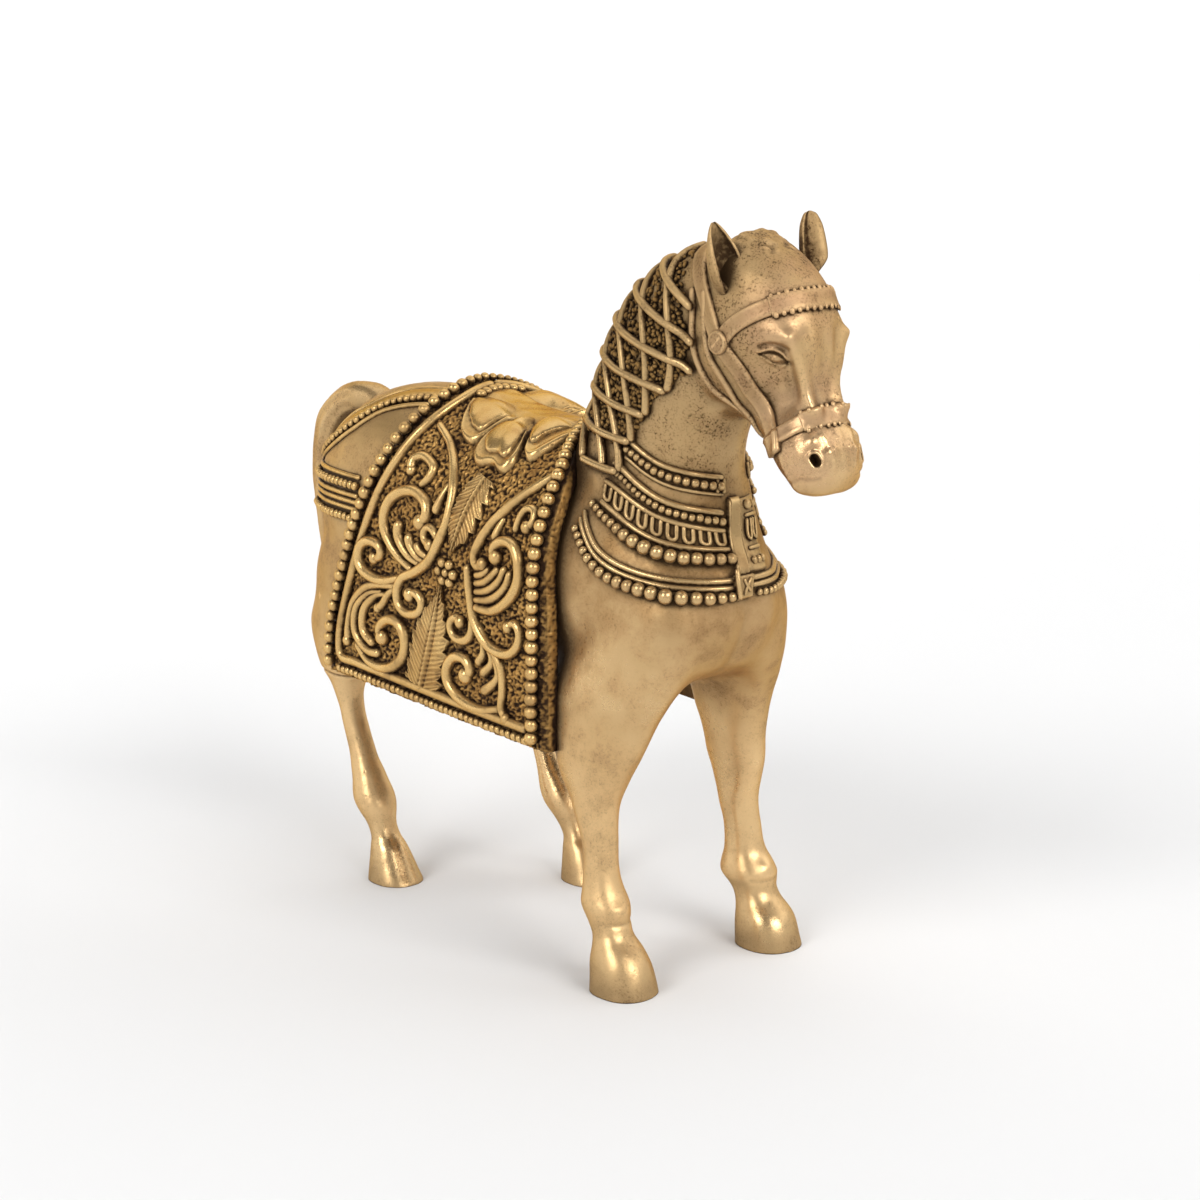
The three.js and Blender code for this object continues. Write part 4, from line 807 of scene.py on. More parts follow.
def tube(route, radius, lift=0.3, sides=10, step=0.7, flat=1.0):
    """Round cord with domed ends; radius is a number or reads the share of the length."""
    size = radius if callable(radius) else (lambda share: np.full(np.shape(share), float(radius)))
    length = route.length
    if route.closed:
        s = np.linspace(0, length, max(8, int(length / step)), endpoint=False)
        shrink = np.ones(len(s))
    else:
        first, last = float(size(np.array(0.0))), float(size(np.array(1.0)))
        turn = np.radians([12, 35, 60])
        middle = np.linspace(first, length - last, max(3, int(length / step)))
        s = np.concatenate([first * (1 - np.cos(turn)), middle, length - last * (1 - np.cos(turn[::-1]))])
        shrink = np.concatenate([np.sin(turn), np.ones(len(middle)), np.sin(turn[::-1])])
    point, _, normal, across = route.at(s)
    full = size(s / length)
    angle = 2 * np.pi * np.arange(sides) / sides
    side = np.cos(angle)[None, :, None] * (full * shrink)[:, None, None]
    rise = np.sin(angle)[None, :, None] * (full * shrink)[:, None, None] * flat
    rings = point[:, None] + across[:, None] * side + normal[:, None] * (rise + (full * lift)[:, None, None])
    return loft(rings, route.closed)


# Section of a strap as shares of its width and thickness, and how deep it is set into the skin
STRAP_SECTION = np.array([
    (-0.5, 0), (0.5, 0), (0.5, 0.6), (0.46, 0.86), (0.38, 1), (0.2, 0.93), (0, 0.91),
    (-0.2, 0.93), (-0.38, 1), (-0.46, 0.86), (-0.5, 0.6),
])
STRAP_LIFT = -0.3


def strap(route, width, thickness, step=0.6):
    """Flat strap with rounded edges."""
    count = max(4, int(route.length / step))
    s = np.linspace(0, route.length, count, endpoint=not route.closed)
    point, _, normal, across = route.at(s)
    side = STRAP_SECTION[:, 0][None, :, None] * width
    rise = STRAP_LIFT + STRAP_SECTION[:, 1][None, :, None] * (thickness - STRAP_LIFT)
    return loft(point[:, None] + across[:, None] * side + normal[:, None] * rise, route.closed)


def sphere_body(level):
    bm = bmesh.new()
    bmesh.ops.create_icosphere(bm, subdivisions=level, radius=1)
    points = np.array([v.co for v in bm.verts])
    faces = [[v.index for v in f.verts] for f in bm.faces]
    bm.free()
    return points, faces


BALL, SMALL_BALL = sphere_body(3), sphere_body(2)


def ball(centre, radii, axes=None, body=BALL):
    points = body[0] * np.asarray(radii, float)
    if axes is not None:
        points = points @ np.asarray(axes)
    return points + centre, body[1]


# How closely beads follow each other, and their unevenness along, across and outward
BEAD_PACK = 0.97
BEAD_UNEVEN = ((0.96, 1.03), (0.97, 1.03), (0.9, 1))


def bead_row(shape, route, diameter, lift=0.36, grow=None):
    """Touching beads along a route, each a little uneven; grow reads their size along it."""
    usable = route.length
    size_at = (lambda share: diameter * float(grow(share)[0])) if grow else (lambda share: diameter)
    steps = []
    while sum(steps) < usable:
        steps.append(BEAD_PACK * size_at(sum(steps) / usable))
    steps = np.array(steps) * usable / sum(steps)
    s = np.cumsum(steps) - steps / 2
    point, along, normal, across = route.at(s)
    for i, place in enumerate(s):
        full = size_at(place / usable)
        size = full / 2 * rng.uniform(0.95, 1.04)
        centre = point[i] + normal[i] * full * lift + across[i] * rng.normal(0, 0.05)
        radii = [size * rng.uniform(*uneven) for uneven in BEAD_UNEVEN]
        shape.add(ball(centre, radii, (along[i], across[i], normal[i])))
    return shape


# Ear tables: share of the length, half breadth, depth; the right ear is cupped, the left one folded over
RIGHT_EAR = [
    (0, 1.2, 1.6), (0.12, 2.3, 2.4), (0.26, 3.2, 3), (0.42, 3.7, 3.1), (0.62, 3.3, 2.5), (0.82, 2.3, 1.3),
    (0.94, 1.3, 0.7), (1, 0.5, 0.3),
]
LEFT_EAR = [
    (0, 0.5, 1.2), (0.1, 0.8, 1.5), (0.2, 1.6, 1.8), (0.3, 2.4, 2), (0.42, 2.8, 2.1), (0.6, 2.7, 2),
    (0.8, 2.3, 1.6), (0.92, 1.65, 1.1), (0.975, 1.1, 0.7), (1, 0.3, 0.3),
]
# Where the ears stand on the head, how they lean, how wide they open, their walls, and their foot
EAR_STATION, EAR_DOWN, EAR_SUNK = 1.42, 0.255, 3
EAR_LEAN_X, EAR_LEAN_Y, EAR_LEAN_Z = -0.239, 0.171, 0.956
CUPPED_OPENING, FOLDED_OPENING = 112, 90
CUPPED_WALL, FOLDED_WALL = 0.6, 0.12
EAR_TUCK, TUCK_END, SHEAR_END, SHEAR_FOOT = 1.5, 0.4, 0.35, 1.4
# Ears: word, side, facing, length, table, cupped, how far out they stand, shear
EARS = [
    ("right", -1, (0.99, 0.02, 0.1), 14, RIGHT_EAR, True, 0.88, 0),
    ("left", 1, (0.72, -0.68, 0.1), 14.9, LEFT_EAR, False, 1.07, 0.9),
]


def ear_body(side, facing, length, table, cupped, outset, shear):
    """Ear that stands on the head with its opening towards facing."""
    read = smooth_table(HEAD)
    face_x, face_z, jaw_x, jaw_z, half = read(EAR_STATION)
    root_x = face_x + (jaw_x - face_x) * EAR_DOWN
    root_z = face_z + (jaw_z - face_z) * EAR_DOWN - EAR_SUNK
    root = np.array([root_x, side * half * outset, root_z])
    along = np.array([EAR_LEAN_X, side * EAR_LEAN_Y, EAR_LEAN_Z]) * length
    across = unit(np.cross(along, facing))
    depth = unit(np.cross(across, along))
    depth *= np.sign(depth @ facing)
    sizes = smooth_table(table)
    opening = CUPPED_OPENING if cupped else FOLDED_OPENING
    tuck = EAR_TUCK if cupped else -EAR_TUCK
    arc = np.radians(np.linspace(-opening, opening, 31))
    rings = []
    for share in np.linspace(0, 1, 40):
        breadth, thick = sizes(share)
        wall = min(CUPPED_WALL, breadth * 0.4) if cupped else FOLDED_WALL
        outer = np.outer(np.sin(arc) * breadth, across) - np.outer(np.cos(arc) * thick, depth)
        place = np.sin(arc)
        if cupped:
            deep = min(1, max(0, (share - 0.08) * 6))
            front = -np.cos(arc) * (thick - wall) * deep + (1 - deep) * thick * 0.4
            front = np.maximum(front, -thick * 0.9 * deep)
        else:
            lobe = 0.5 * np.sqrt(np.clip(1 - ((place - 0.24) / 0.76) ** 2, 0, 1))
            ridge = 0.5 * np.exp(-((place + 0.74) / 0.2) ** 2)
            front = thick * np.maximum(lobe, ridge)
        inner = np.outer(place * (breadth - wall), across) + np.outer(front, depth)
        bend = shear * (0.5 - share) - SHEAR_FOOT * shear * max(0, 1 - share / SHEAR_END)
        tucked = depth * tuck * max(0, 1 - share / TUCK_END)
        middle = root + along * share + across * bend - tucked
        rings.append(middle + np.vstack([outer, inner[::-1]]))
    return loft(np.array(rings))


# Saddle cloth: a thick sheet over the back, read by x and by its share of the drop
CLOTH_XS = np.linspace(-18, 72, 91)
CLOTH_SHARES = np.linspace(0, 1, 121)
HANGING_ROWS = 19
# Mesh of the cloth: rows on each side, points across, points on its front wall and on its inner face
CLOTH_ROWS, CLOTH_COLUMNS, WALL_POINTS, INNER_POINTS = 300, 220, 7, 9
# Ground of the cloth: grain sizes with their heights, how far it is sunk, its plain edge and the darker strip
# along its front edge
GRAIN, GRAIN_RISE, FINE_GRAIN, FINE_RISE = 1.05, 0.75, 0.6, 0.3
GROUND_SUNK, PLAIN_EDGE, DARK_STRIP = 0.5, 1.2, 3.5
HATCH_GRAIN, HATCH_RISE, WALL_SWELL = 1.1, 0.3, 0.35


def cloth_profile(x):
    places = []
    for turn in np.radians(np.linspace(90, 0, 31)):
        places.append(seat(torso_tree, (x, 0, CLOTH_AXIS_Z), (0, math.cos(turn), math.sin(turn))))
    normals = unit(np.array([normal * (0, 1, 1) for _, normal in places]))
    points = np.array([point for point, _ in places]) + normals * CLOTH_GAP
    drop = np.linspace(points[-1][2], CLOTH_HEM_Z - HEM_FALL * max(0, x), HANGING_ROWS + 1)[1:]
    hanging = np.column_stack([np.full(HANGING_ROWS, x), np.full(HANGING_ROWS, points[-1][1]), drop])
    points = np.vstack([points, hanging])
    normals = np.vstack([normals, np.tile([0.0, 1, 0], (HANGING_ROWS, 1))])
    reach = lengths(points)
    wanted = CLOTH_SHARES * reach[-1]
    read = lambda values: np.column_stack([np.interp(wanted, reach, values[:, axis]) for axis in range(3)])
    return np.hstack([read(points), read(normals)])


cloth_table = np.array([cloth_profile(x) for x in CLOTH_XS])


def cloth_at(x, share, side, lift=0.0):
    """Points and normals of the cloth's outer face, raised by lift."""
    x, share, side, lift = np.broadcast_arrays(*(np.asarray(v, float) for v in (x, share, side, lift)))
    column = np.clip((x - CLOTH_XS[0]) / (CLOTH_XS[1] - CLOTH_XS[0]), 0, len(CLOTH_XS) - 1.001)
    row = np.clip(share, 0, 1) * (len(CLOTH_SHARES) - 1) * 0.999999
    i, j = column.astype(int), row.astype(int)
    u, v = (column - i)[..., None], (row - j)[..., None]
    value = (cloth_table[i, j] * (1 - u) + cloth_table[i + 1, j] * u) * (1 - v)
    value = value + (cloth_table[i, j + 1] * (1 - u) + cloth_table[i + 1, j + 1] * u) * v
    mirror = np.stack([np.ones_like(side), side, np.ones_like(side)], -1)
    normal = unit(value[..., 3:]) * mirror
    return value[..., :3] * mirror + normal * (CLOTH_THICKNESS + lift)[..., None], normal


def cloth_route(points, side):
    """Route on the cloth through points given as x and distance down from the spine."""
    line = curve_through(points, 0.6)
    return Route(*cloth_at(line[:, 0], line[:, 1] / CLOTH_DROP, side))


cloth_rear, cloth_front = smooth_table(CLOTH_REAR), smooth_table(CLOTH_FRONT)


def grains(x, s, size, seed):
    """Height of a ground packed with small uneven grains, about 0 to 1."""
    u, v = x / size, s / size
    best = np.zeros(u.shape)
    cell_u, cell_v = np.floor(u), np.floor(v)
    for step_u in (-1, 0, 1):
        for step_v in (-1, 0, 1):
            a, b = cell_u + step_u, cell_v + step_v
            hashed = [np.modf(np.abs(np.sin(a * k1 + b * k2 + seed) * 43758.5453))[0]
                      for k1, k2 in ((127.1, 311.7), (269.5, 183.3), (419.2, 371.9), (97.3, 157.3))]
            turn = hashed[2] * np.pi
            du, dv = u - a - hashed[0], v - b - hashed[1]
            long = (du * np.cos(turn) + dv * np.sin(turn)) / 0.95
            short = (dv * np.cos(turn) - du * np.sin(turn)) / 0.5
            dome = np.sqrt(np.clip(1 - long ** 2 - short ** 2, 0, 1)) * (0.45 + 0.55 * hashed[3])
            best = np.maximum(best, dome)
    return best


def cloth_body():
    """Closed sheet of the cloth, and a value at each of its points from which the material paints shade and
    patina on it.
    """
    rings, relief_shade = [], []
    depth = np.linspace(0, 1, WALL_POINTS + 2)[1:-1]
    for row in range(-CLOTH_ROWS, CLOTH_ROWS + 1):
        share = abs(row) / CLOTH_ROWS
        side = -1 if row < 0 else 1
        rear, front = float(cloth_rear(share)[0]), float(cloth_front(share)[0])
        x = np.linspace(rear, front, CLOTH_COLUMNS)
        s = np.full(CLOTH_COLUMNS, share * CLOTH_DROP)
        inside = np.clip(np.minimum(x - rear, front - x) / PLAIN_EDGE, 0, 1)
        bumps = GRAIN_RISE * grains(x, s + side * 500, GRAIN, 3.1)
        bumps = bumps + FINE_RISE * grains(x, s + side * 500, FINE_GRAIN, 8.7)
        outer, normal = cloth_at(x, share, side, bumps * inside - GROUND_SUNK)
        along_wall = depth * CLOTH_THICKNESS + side * 50
        hatch = HATCH_RISE * grains(s[:WALL_POINTS], along_wall, HATCH_GRAIN, 5.3) - HATCH_RISE / 2
        wall = outer[-1] - normal[-1] * (depth * CLOTH_THICKNESS)[:, None]
        wall = wall + np.outer(hatch + WALL_SWELL * np.sin(np.pi * depth), (1, 0, 0))
        inner, _ = cloth_at(np.linspace(front, rear, INNER_POINTS), share, side, -CLOTH_THICKNESS)
        rings.append(np.vstack([outer, wall, inner]))
        # Painted shade: low places of the grain and of the wall's hatch get low values and so darker colour;
        # the strip along the front edge, the front wall and the inner face get lower values too
        strip = np.clip((front - x) / DARK_STRIP, 0.35, 1)
        relief_shade.append(np.concatenate([bumps * strip, 0.33 + 0.6 * hatch, np.full(INNER_POINTS, 0.2)]))
    return loft(np.array(rings)), np.concatenate(relief_shade)


def edge_route(edge, inset):
    """Route over the back along one edge of the cloth, set in from it by a table."""
    shares = np.linspace(-EDGE_END, EDGE_END, 300)
    x = edge(np.abs(shares))[:, 0] + smooth_table(inset)(np.abs(shares))[:, 0]
    return Route(*cloth_at(x, np.abs(shares), np.sign(shares)))


# Scrollwork: strokes on the cloth as x and distance down from the spine, start, middle and end radius, bulb
SCROLL_REAR = [
    ([(18.8, 17.5), (27.2, 21.6), (33.3, 29), (34.5, 35.7), (32.9, 39.8), (29.2, 45.9), (23.7, 50.7),
      (18.9, 53.8), (16.9, 57.6), (17.7, 60.9), (20.6, 62.1), (24.9, 60.4), (26.2, 57.6), (24.1, 55.9),
      (21.8, 57)], 0.8, 1.1, 1, 1.75),
    ([(22.7, 31.7), (24.8, 28.5), (24.8, 26.4), (20.1, 25.5), (17.8, 27.1), (18.7, 29.4)],
      0.8, 0.95, 1, 1.25),
    ([(29.8, 35.6), (30.8, 31.1), (31.5, 28.1)], 1.1, 0.9, 0.5, 0),
    ([(23, 50.8), (16.1, 48), (12.4, 43.4), (13, 38.8), (16.5, 34.9), (21.5, 33), (26.1, 34.1),
      (27.3, 36.7), (25.3, 38.6)], 0.8, 1.15, 1.2, 1.9),
    ([(18.1, 40.3), (17.7, 43.7), (20.9, 47.2), (25.6, 48.4)], 1.15, 1.05, 0.7, 0),
    ([(21.7, 42), (22, 44.2), (24.6, 46.6), (27.4, 47)], 1.1, 1, 0.7, 0),
    ([(24.3, 43.3), (25.4, 44.8), (28.6, 45.7)], 1, 0.95, 0.7, 0),
    ([(32, 40.4), (28.8, 38.6), (26.9, 40), (27.3, 41.8), (29.6, 42.6)], 0.9, 0.9, 1, 1.5),
    ([(18.9, 53.8), (11.1, 56.8), (4.7, 56.2), (2.5, 53.7), (3.6, 50), (7.4, 48.2), (11, 48.9),
      (10.6, 51.1), (8.4, 52)], 0.8, 1.25, 0.95, 1.5),
    ([(16.4, 56.6), (6.1, 59.4), (-0.1, 64.7), (-2.4, 70.4), (-3.1, 75)], 0.8, 0.95, 0.9, 1.3),
    ([(11, 59.6), (6, 61.2), (0.8, 66.3), (0.6, 72.2), (5.5, 75.4), (10, 75)], 0.6, 0.95, 1, 0),
    ([(13, 59.8), (9, 60.9), (3.9, 65.7), (3.7, 71.1), (8, 73.4)], 0.6, 0.9, 1, 0),
    ([(0.5, 74.6), (5.4, 78), (12.3, 78), (18.3, 74.1), (19.9, 69.1), (17.6, 65.5), (12.9, 65.9),
      (10, 68.8), (11.2, 70.8)], 0.8, 1.2, 1.15, 1.9),
    ([(15.9, 57.4), (13, 59.8), (11.4, 62.4), (9.4, 64)], 0.7, 0.85, 1, 1.2),
]
SCROLL_FRONT = [
    ([(62.4, 20.3), (57.8, 24.8), (53, 29.6), (49.6, 33.4), (46.7, 37.7), (45, 41.7), (46, 43.6),
      (48.2, 42.6)], 0.9, 1.05, 1, 1.5),
    ([(51.1, 37.3), (51.7, 34.2), (52.5, 31.9)], 1.05, 0.85, 0.5, 0),
    ([(56.9, 34.5), (57.3, 31.2), (58.6, 28.8), (61.2, 28.9), (62, 31.4), (60.3, 32.8)],
      0.7, 0.85, 0.95, 1.45),
    ([(42.6, 43.7), (43, 48.6), (43.9, 53.4), (44.7, 56.6), (47.3, 60.5), (50.8, 62.7), (56, 62.8),
      (59.3, 59.9), (60, 56.5), (58.1, 54.6), (56.2, 56.2)], 0.9, 1.1, 0.85, 1.35),
    ([(44.2, 56.4), (43.7, 60.7), (41, 63.2), (37.5, 62.8), (36.3, 59.8), (38.4, 57.9), (40.2, 58.8)],
      0.9, 1, 0.95, 1.5),
    ([(44.7, 53.8), (50.9, 53.3), (57, 48.9), (60, 43.6), (59.5, 39.4), (56.8, 36.9), (53.4, 37),
      (51.2, 39), (52.4, 40.6)], 0.9, 1.15, 1.1, 1.7),
    ([(44.6, 52.1), (50.6, 50.6), (55.4, 46.8), (57.4, 42.4)], 0.7, 1, 0.9, 0),
    ([(44.8, 50.1), (49.8, 48.5), (53.7, 45.2), (55.4, 41.8)], 0.7, 0.95, 0.85, 0),
    ([(44.8, 48), (48.9, 46.6), (51.9, 43.9), (53.4, 42.4)], 0.7, 0.9, 0.8, 0),
    ([(44.9, 46), (47.9, 45), (50.2, 43.2)], 0.7, 0.85, 0.75, 0),
    ([(46, 58), (48.2, 60.9), (51.6, 63.6), (53.8, 67), (54.1, 72.5), (53.6, 77), (55.4, 79)],
      0.8, 0.9, 0.85, 1.3),
    ([(47.3, 60), (48.1, 64.3), (45.8, 67.8)], 0.7, 0.9, 1.1, 0),
    ([(49, 61.9), (51, 65.8), (47.4, 70)], 0.7, 0.9, 1.1, 0),
    ([(50.8, 63.8), (52.9, 68.9), (47.6, 74.4)], 0.7, 0.9, 1.1, 0),
    ([(53.4, 77), (46.9, 79), (39.9, 78.4), (35.6, 75.6), (34.8, 72), (37.2, 68.4), (41.4, 67.6),
      (43.4, 69.7), (41.6, 71.8)], 0.8, 1.15, 1.1, 1.9),
]


# How strokes swell and rise, how their bulbs sit, and how deep leaves and patches reach into the cloth
STROKE_SWELL, STROKE_TALL, BULB_LIFT, BULB_FLAT = 1.12, 1.15, 0.55, 0.95
LEAF_ROOT, PATCH_ROOT = 0.8, 0.6


def stroke(shape, points, first, middle, last, bulb, side):
    route = cloth_route(points, side)
    size = smooth_table([(0, first), (0.45, middle), (1, last)])
    shape.add(tube(route, lambda share: size(share)[..., 0] * STROKE_SWELL, 0.35, 10, 0.6, STROKE_TALL))
    if bulb:
        point, along, normal, across = route.at(route.length - 0.2)
        axes = (along[0], across[0], normal[0])
        shape.add(ball(point[0] + normal[0] * BULB_LIFT, (bulb, bulb, bulb * BULB_FLAT), axes))


def spread(side, columns, rows, spot, height):
    """Closed relief on the cloth: spot gives x and drop, height the rise, over u and v from 0 to 1."""
    u, v = np.meshgrid(np.linspace(0, 1, columns), np.linspace(0, 1, rows), indexing="ij")
    x, drop = spot(u, v)
    top, _ = cloth_at(x, drop / CLOTH_DROP, side, height(u, v))
    base, _ = cloth_at(x, drop / CLOTH_DROP, side, -LEAF_ROOT)
    return np.vstack([top.reshape(-1, 3), base.reshape(-1, 3)]), sheet_faces(columns, rows)


def leaf_body(side, root, tip, half, lobes, widths):
    """Leaf with a midrib, slanting veins and an edge of lobes that point to its tip."""
    root, tip = np.array(root), np.array(tip)
    axis = tip - root
    beside = np.array([-axis[1], axis[0]]) / np.linalg.norm(axis)
    width = smooth_table(widths)

    def spot(u, v):
        across = 2 * v - 1
        tooth = np.mod(u * lobes - 1.3, 1)
        reach = half * width(u)[..., 0] * (1 - 0.3 * (1 - tooth) * np.abs(across) ** 3)
        ahead = u + 0.08 * (1 - np.abs(across)) * u
        return [root[i] + axis[i] * ahead + beside[i] * across * reach for i in (0, 1)]

    def height(u, v):
        across = np.abs(2 * v - 1)
        slant = u * lobes - 1.3 * across
        vein = 0.09 * np.cos(2 * np.pi * slant * 3)
        notch = 0.28 * np.exp(-(np.mod(slant, 1) / 0.12) ** 2) * np.clip((across - 0.3) / 0.4, 0, 1)
        rib = 0.35 * np.exp(-((across / 0.06) ** 2)) - 0.25 * np.exp(-(((across - 0.13) / 0.06) ** 2))
        edge = np.clip((1 - across) / 0.1, 0, 1) * np.clip((1.02 - u) / 0.05, 0.2, 1)
        return (1 + vein + rib - notch + 0.25 * (1 - across)) * (0.3 + 0.7 * edge)

    return spread(side, 150, 61, spot, height)


def patch_body(side, outline, centre, height):
    """Relief inside a closed outline; height reads the share to the edge and how low the edge lies."""
    ring = np.array(outline, float)
    for _ in range(3):
        after = np.roll(ring, -1, 0)
        ring = np.stack([ring * 0.75 + after * 0.25, ring * 0.25 + after * 0.75], 1).reshape(-1, 2)
    share = np.linspace(0.03, 1, 26)[:, None]
    centre = np.array(centre, float)
    place = centre + (ring - centre)[None] * share[..., None]
    down = np.tanh((ring[:, 1] - centre[1]) / 3)[None]
    top, _ = cloth_at(place[..., 0], place[..., 1] / CLOTH_DROP, side, height(share, down))
    base, _ = cloth_at(place[..., 0], place[..., 1] / CLOTH_DROP, side, -PATCH_ROOT)
    return loft(np.concatenate([top, base[-1:], base[:1]]))


def petal_sink(share, down):
    return 1 - np.clip(-1.3 * down, 0, 1) * share ** 2


def petal_rim(share, down):
    edge = np.clip((1 - share) / 0.08, 0, 1) ** 0.5
    lip = 0.25 * np.exp(-(((share - 0.88) / 0.06) ** 2)) * (down > 0)
    return (0.1 + 1.3 * edge + lip) * petal_sink(share, down)


def petal_lobe(share, down):
    steep = 0.7 - 0.36 * down
    rise = 0.6 + 0.8 * (share < 0.995) + 1.7 * np.clip(1 - share ** 2.2, 0, 1) ** steep
    return rise * petal_sink(share, down)


skin_shape = Shape().add((mesh_points(skin), [list(p.vertices) for p in skin.polygons]))
piece("horse_skin", skin_shape, BODY_BRASS, "body_brass", "torso", "neck", "head", "tail", "leg_fore_right",
      "leg_fore_left", "leg_hind_right", "leg_hind_left")
for word, *ear in EARS:
    piece("ear_shell_" + word, Shape().add(ear_body(*ear)), EAR_BRASS, "body_brass", "ear_" + word)

cloth, cloth_relief_shade = cloth_body()
sheet = piece("cloth_sheet", Shape().add(cloth), CLOTH_BRASS, "cloth_brass", "saddle_cloth")
# Values for the painted shade and patina of the cloth's ground, stored on its points
sheet.data.attributes.new("relief_shade", "FLOAT", "POINT").data.foreach_set("value", cloth_relief_shade.astype(np.float32))
# How far the bead borders lie in from the edges, by share of the drop
REAR_INSET = [(0, 1.45), (1, 1.45)]
FRONT_INSET = [(0, -1.45), (0.35, -1.6), (0.6, -2.5), (1, -3.6)]
REAR_SIZES = smooth_table([(0, 1), (0.44, 1), (0.49, 0.78), (0.55, 0.6), (0.62, 0.7), (0.7, 0.98), (1, 1)])
rear_beads = bead_row(Shape(), edge_route(cloth_rear, REAR_INSET), BEAD * 0.98, grow=REAR_SIZES)
trim("rear_bead_border", rear_beads, "cloth_beads_rear")
front_beads = bead_row(Shape(), edge_route(cloth_front, FRONT_INSET), BEAD)
trim("front_bead_border", front_beads, "cloth_beads_front")

# Leaf widths along their length
LOWER_LEAF = [(0, 0.9), (0.25, 1), (0.5, 0.94), (0.7, 0.68), (0.88, 0.3), (1, 0.04)]
UPPER_LEAF = [(0, 0.62), (0.12, 0.85), (0.4, 1), (0.65, 0.95), (0.85, 0.62), (1, 0.1)]
# Leaves: name, root and tip as x and drop, half width, lobes, widths
LEAVES = [
    ("lower", (25.2, 79.4), (33.2, 52.6), 7.3, 7, LOWER_LEAF),
    ("upper", (42.2, 25), (37.8, 41.2), 5.3, 5, UPPER_LEAF),
]
# Saddle petals as x and drop: outline of the flat rim, outline and middle of the lobe on it
PETALS = [
    ("rear",
     [(18.5, 5.8), (21.8, 12.3), (25.8, 17.8), (31.4, 19), (33.4, 15.2), (33.2, 7), (30, 1.4), (21, 2.2)],
     [(20, 6.3), (22, 10.8), (27.4, 15), (31.6, 16.2), (32.2, 12.8), (31.4, 5), (29, 1.6), (22, 2.6)],
     (27.4, 8.4)),
    ("mid",
     [(33.4, 7), (32.6, 19.4), (36.4, 23.6), (41.2, 21.4), (46.2, 24), (48, 19.4),
      (44.2, 12.8), (39, 7), (35, 2)],
     [(34.2, 5), (33.8, 16.2), (38, 20.2), (41.2, 19), (44.6, 20.6), (45.4, 18.2),
      (43.4, 12.8), (39, 8), (36.4, 2)],
     (39, 11.6)),
    ("front",
     [(41.6, 6), (44.6, 12.2), (48.2, 18), (51.6, 19.2), (53.6, 14), (54.4, 10),
      (57, 7.4), (55, 2.4), (46, 1.4)],
     [(39.6, 3.6), (42, 8), (45.8, 13.4), (49, 15.8), (49.6, 10), (52.6, 5), (53.4, 1.8), (45, 0.8)],
     (46.4, 7)),
]
# Hem row and inner rope: distance down, inset from the edges, sizes
HEM_BEAD, HEM_DOWN, HEM_INSET = 1.9, 82.4, 5
RAIL_INSET, RAIL_RADIUS, RAIL_DOWN, RAIL_END_X = 5, 1.12, 79.6, 62.5
RAIL_CORNER_SHARE, RAIL_CORNER_IN, RAIL_CORNER_UP = 0.93, 0.8, 0.4
RAIL_SHARES = (0.0, 0.15, 0.3, 0.45, 0.6, 0.75, 0.87)
RAIL_UPRIGHT = [(62.6, 79), (62.7, 76), (62.7, 73)]
FLOWER_X, FLOWER_DOWN, FLOWER_RING, FLOWER_BEAD, FLOWER_HEART = 35, 47.6, 2.5, 1.15, 1.1
for side, word in SIDES:
    hem_ends = (float(cloth_rear(1)[0]) + HEM_INSET, float(cloth_front(1)[0]) - HEM_INSET)
    hem = [(x, HEM_DOWN) for x in (hem_ends[0], 20, 40, hem_ends[1])]
    hem_beads = bead_row(Shape(), cloth_route(hem, side), HEM_BEAD, 0.3)
    trim("hem_bead_border_" + word, hem_beads, "cloth_beads_hem_" + word)

    down = [(float(cloth_rear(share)[0]) + RAIL_INSET, share * CLOTH_DROP) for share in RAIL_SHARES]
    corner_x = float(cloth_rear(RAIL_CORNER_SHARE)[0]) + RAIL_INSET + RAIL_CORNER_IN
    corner = [(corner_x, RAIL_DOWN - RAIL_CORNER_UP)]
    low = [(x, RAIL_DOWN) for x in (0, 20, 40, RAIL_END_X)]
    rail = Shape().add(tube(cloth_route(down + corner + low, side), RAIL_RADIUS, 0.3, 12))
    rail.add(tube(cloth_route(RAIL_UPRIGHT, side), 0.5, 0.3, 8))
    trim("cloth_rope_" + word, rail, "cloth_rail_" + word)

    for part, strokes in (("rear", SCROLL_REAR), ("front", SCROLL_FRONT)):
        scroll = Shape()
        for points, *sizes in strokes:
            stroke(scroll, points, *sizes, side)
        trim("scrollwork_" + part + "_" + word, scroll, "scroll_" + part + "_" + word)

    for name, *leaf in LEAVES:
        body = Shape().add(leaf_body(side, *leaf))
        trim("veined_leaf_" + name + "_" + word, body, "leaf_" + name + "_" + word)

    flower = Shape()
    for k in range(7):
        angle = k * math.pi / 3
        reach = FLOWER_RING if k < 6 else 0
        x = FLOWER_X + reach * math.cos(angle)
        drop = FLOWER_DOWN + reach * math.sin(angle)
        spot, normal = cloth_at(x, drop / CLOTH_DROP, side)
        flower.add(ball(spot + normal * 0.5, FLOWER_BEAD if k < 6 else FLOWER_HEART))
    trim("flower_beads_" + word, flower, "flower_" + word)

    for name, rim, lobe, middle in PETALS:
        body = Shape().add(patch_body(side, rim, middle, petal_rim))
        body.add(patch_body(side, lobe, middle, petal_lobe))
        trim("lotus_petal_" + name + "_" + word, body, "saddle_petal_" + name + "_" + word)


# Seat: a smooth low ridge over the spine, with a lumpy cantle
CANTLE_REACH, CANTLE_INSET = 5.4, 6.6
SEAT_MIDDLE, SEAT_REACH, SEAT_HALF, SEAT_DENTS = 36.5, 20.5, 7, 0.12
CANTLE_LUMP = (1.4, 1.3, 1.1)
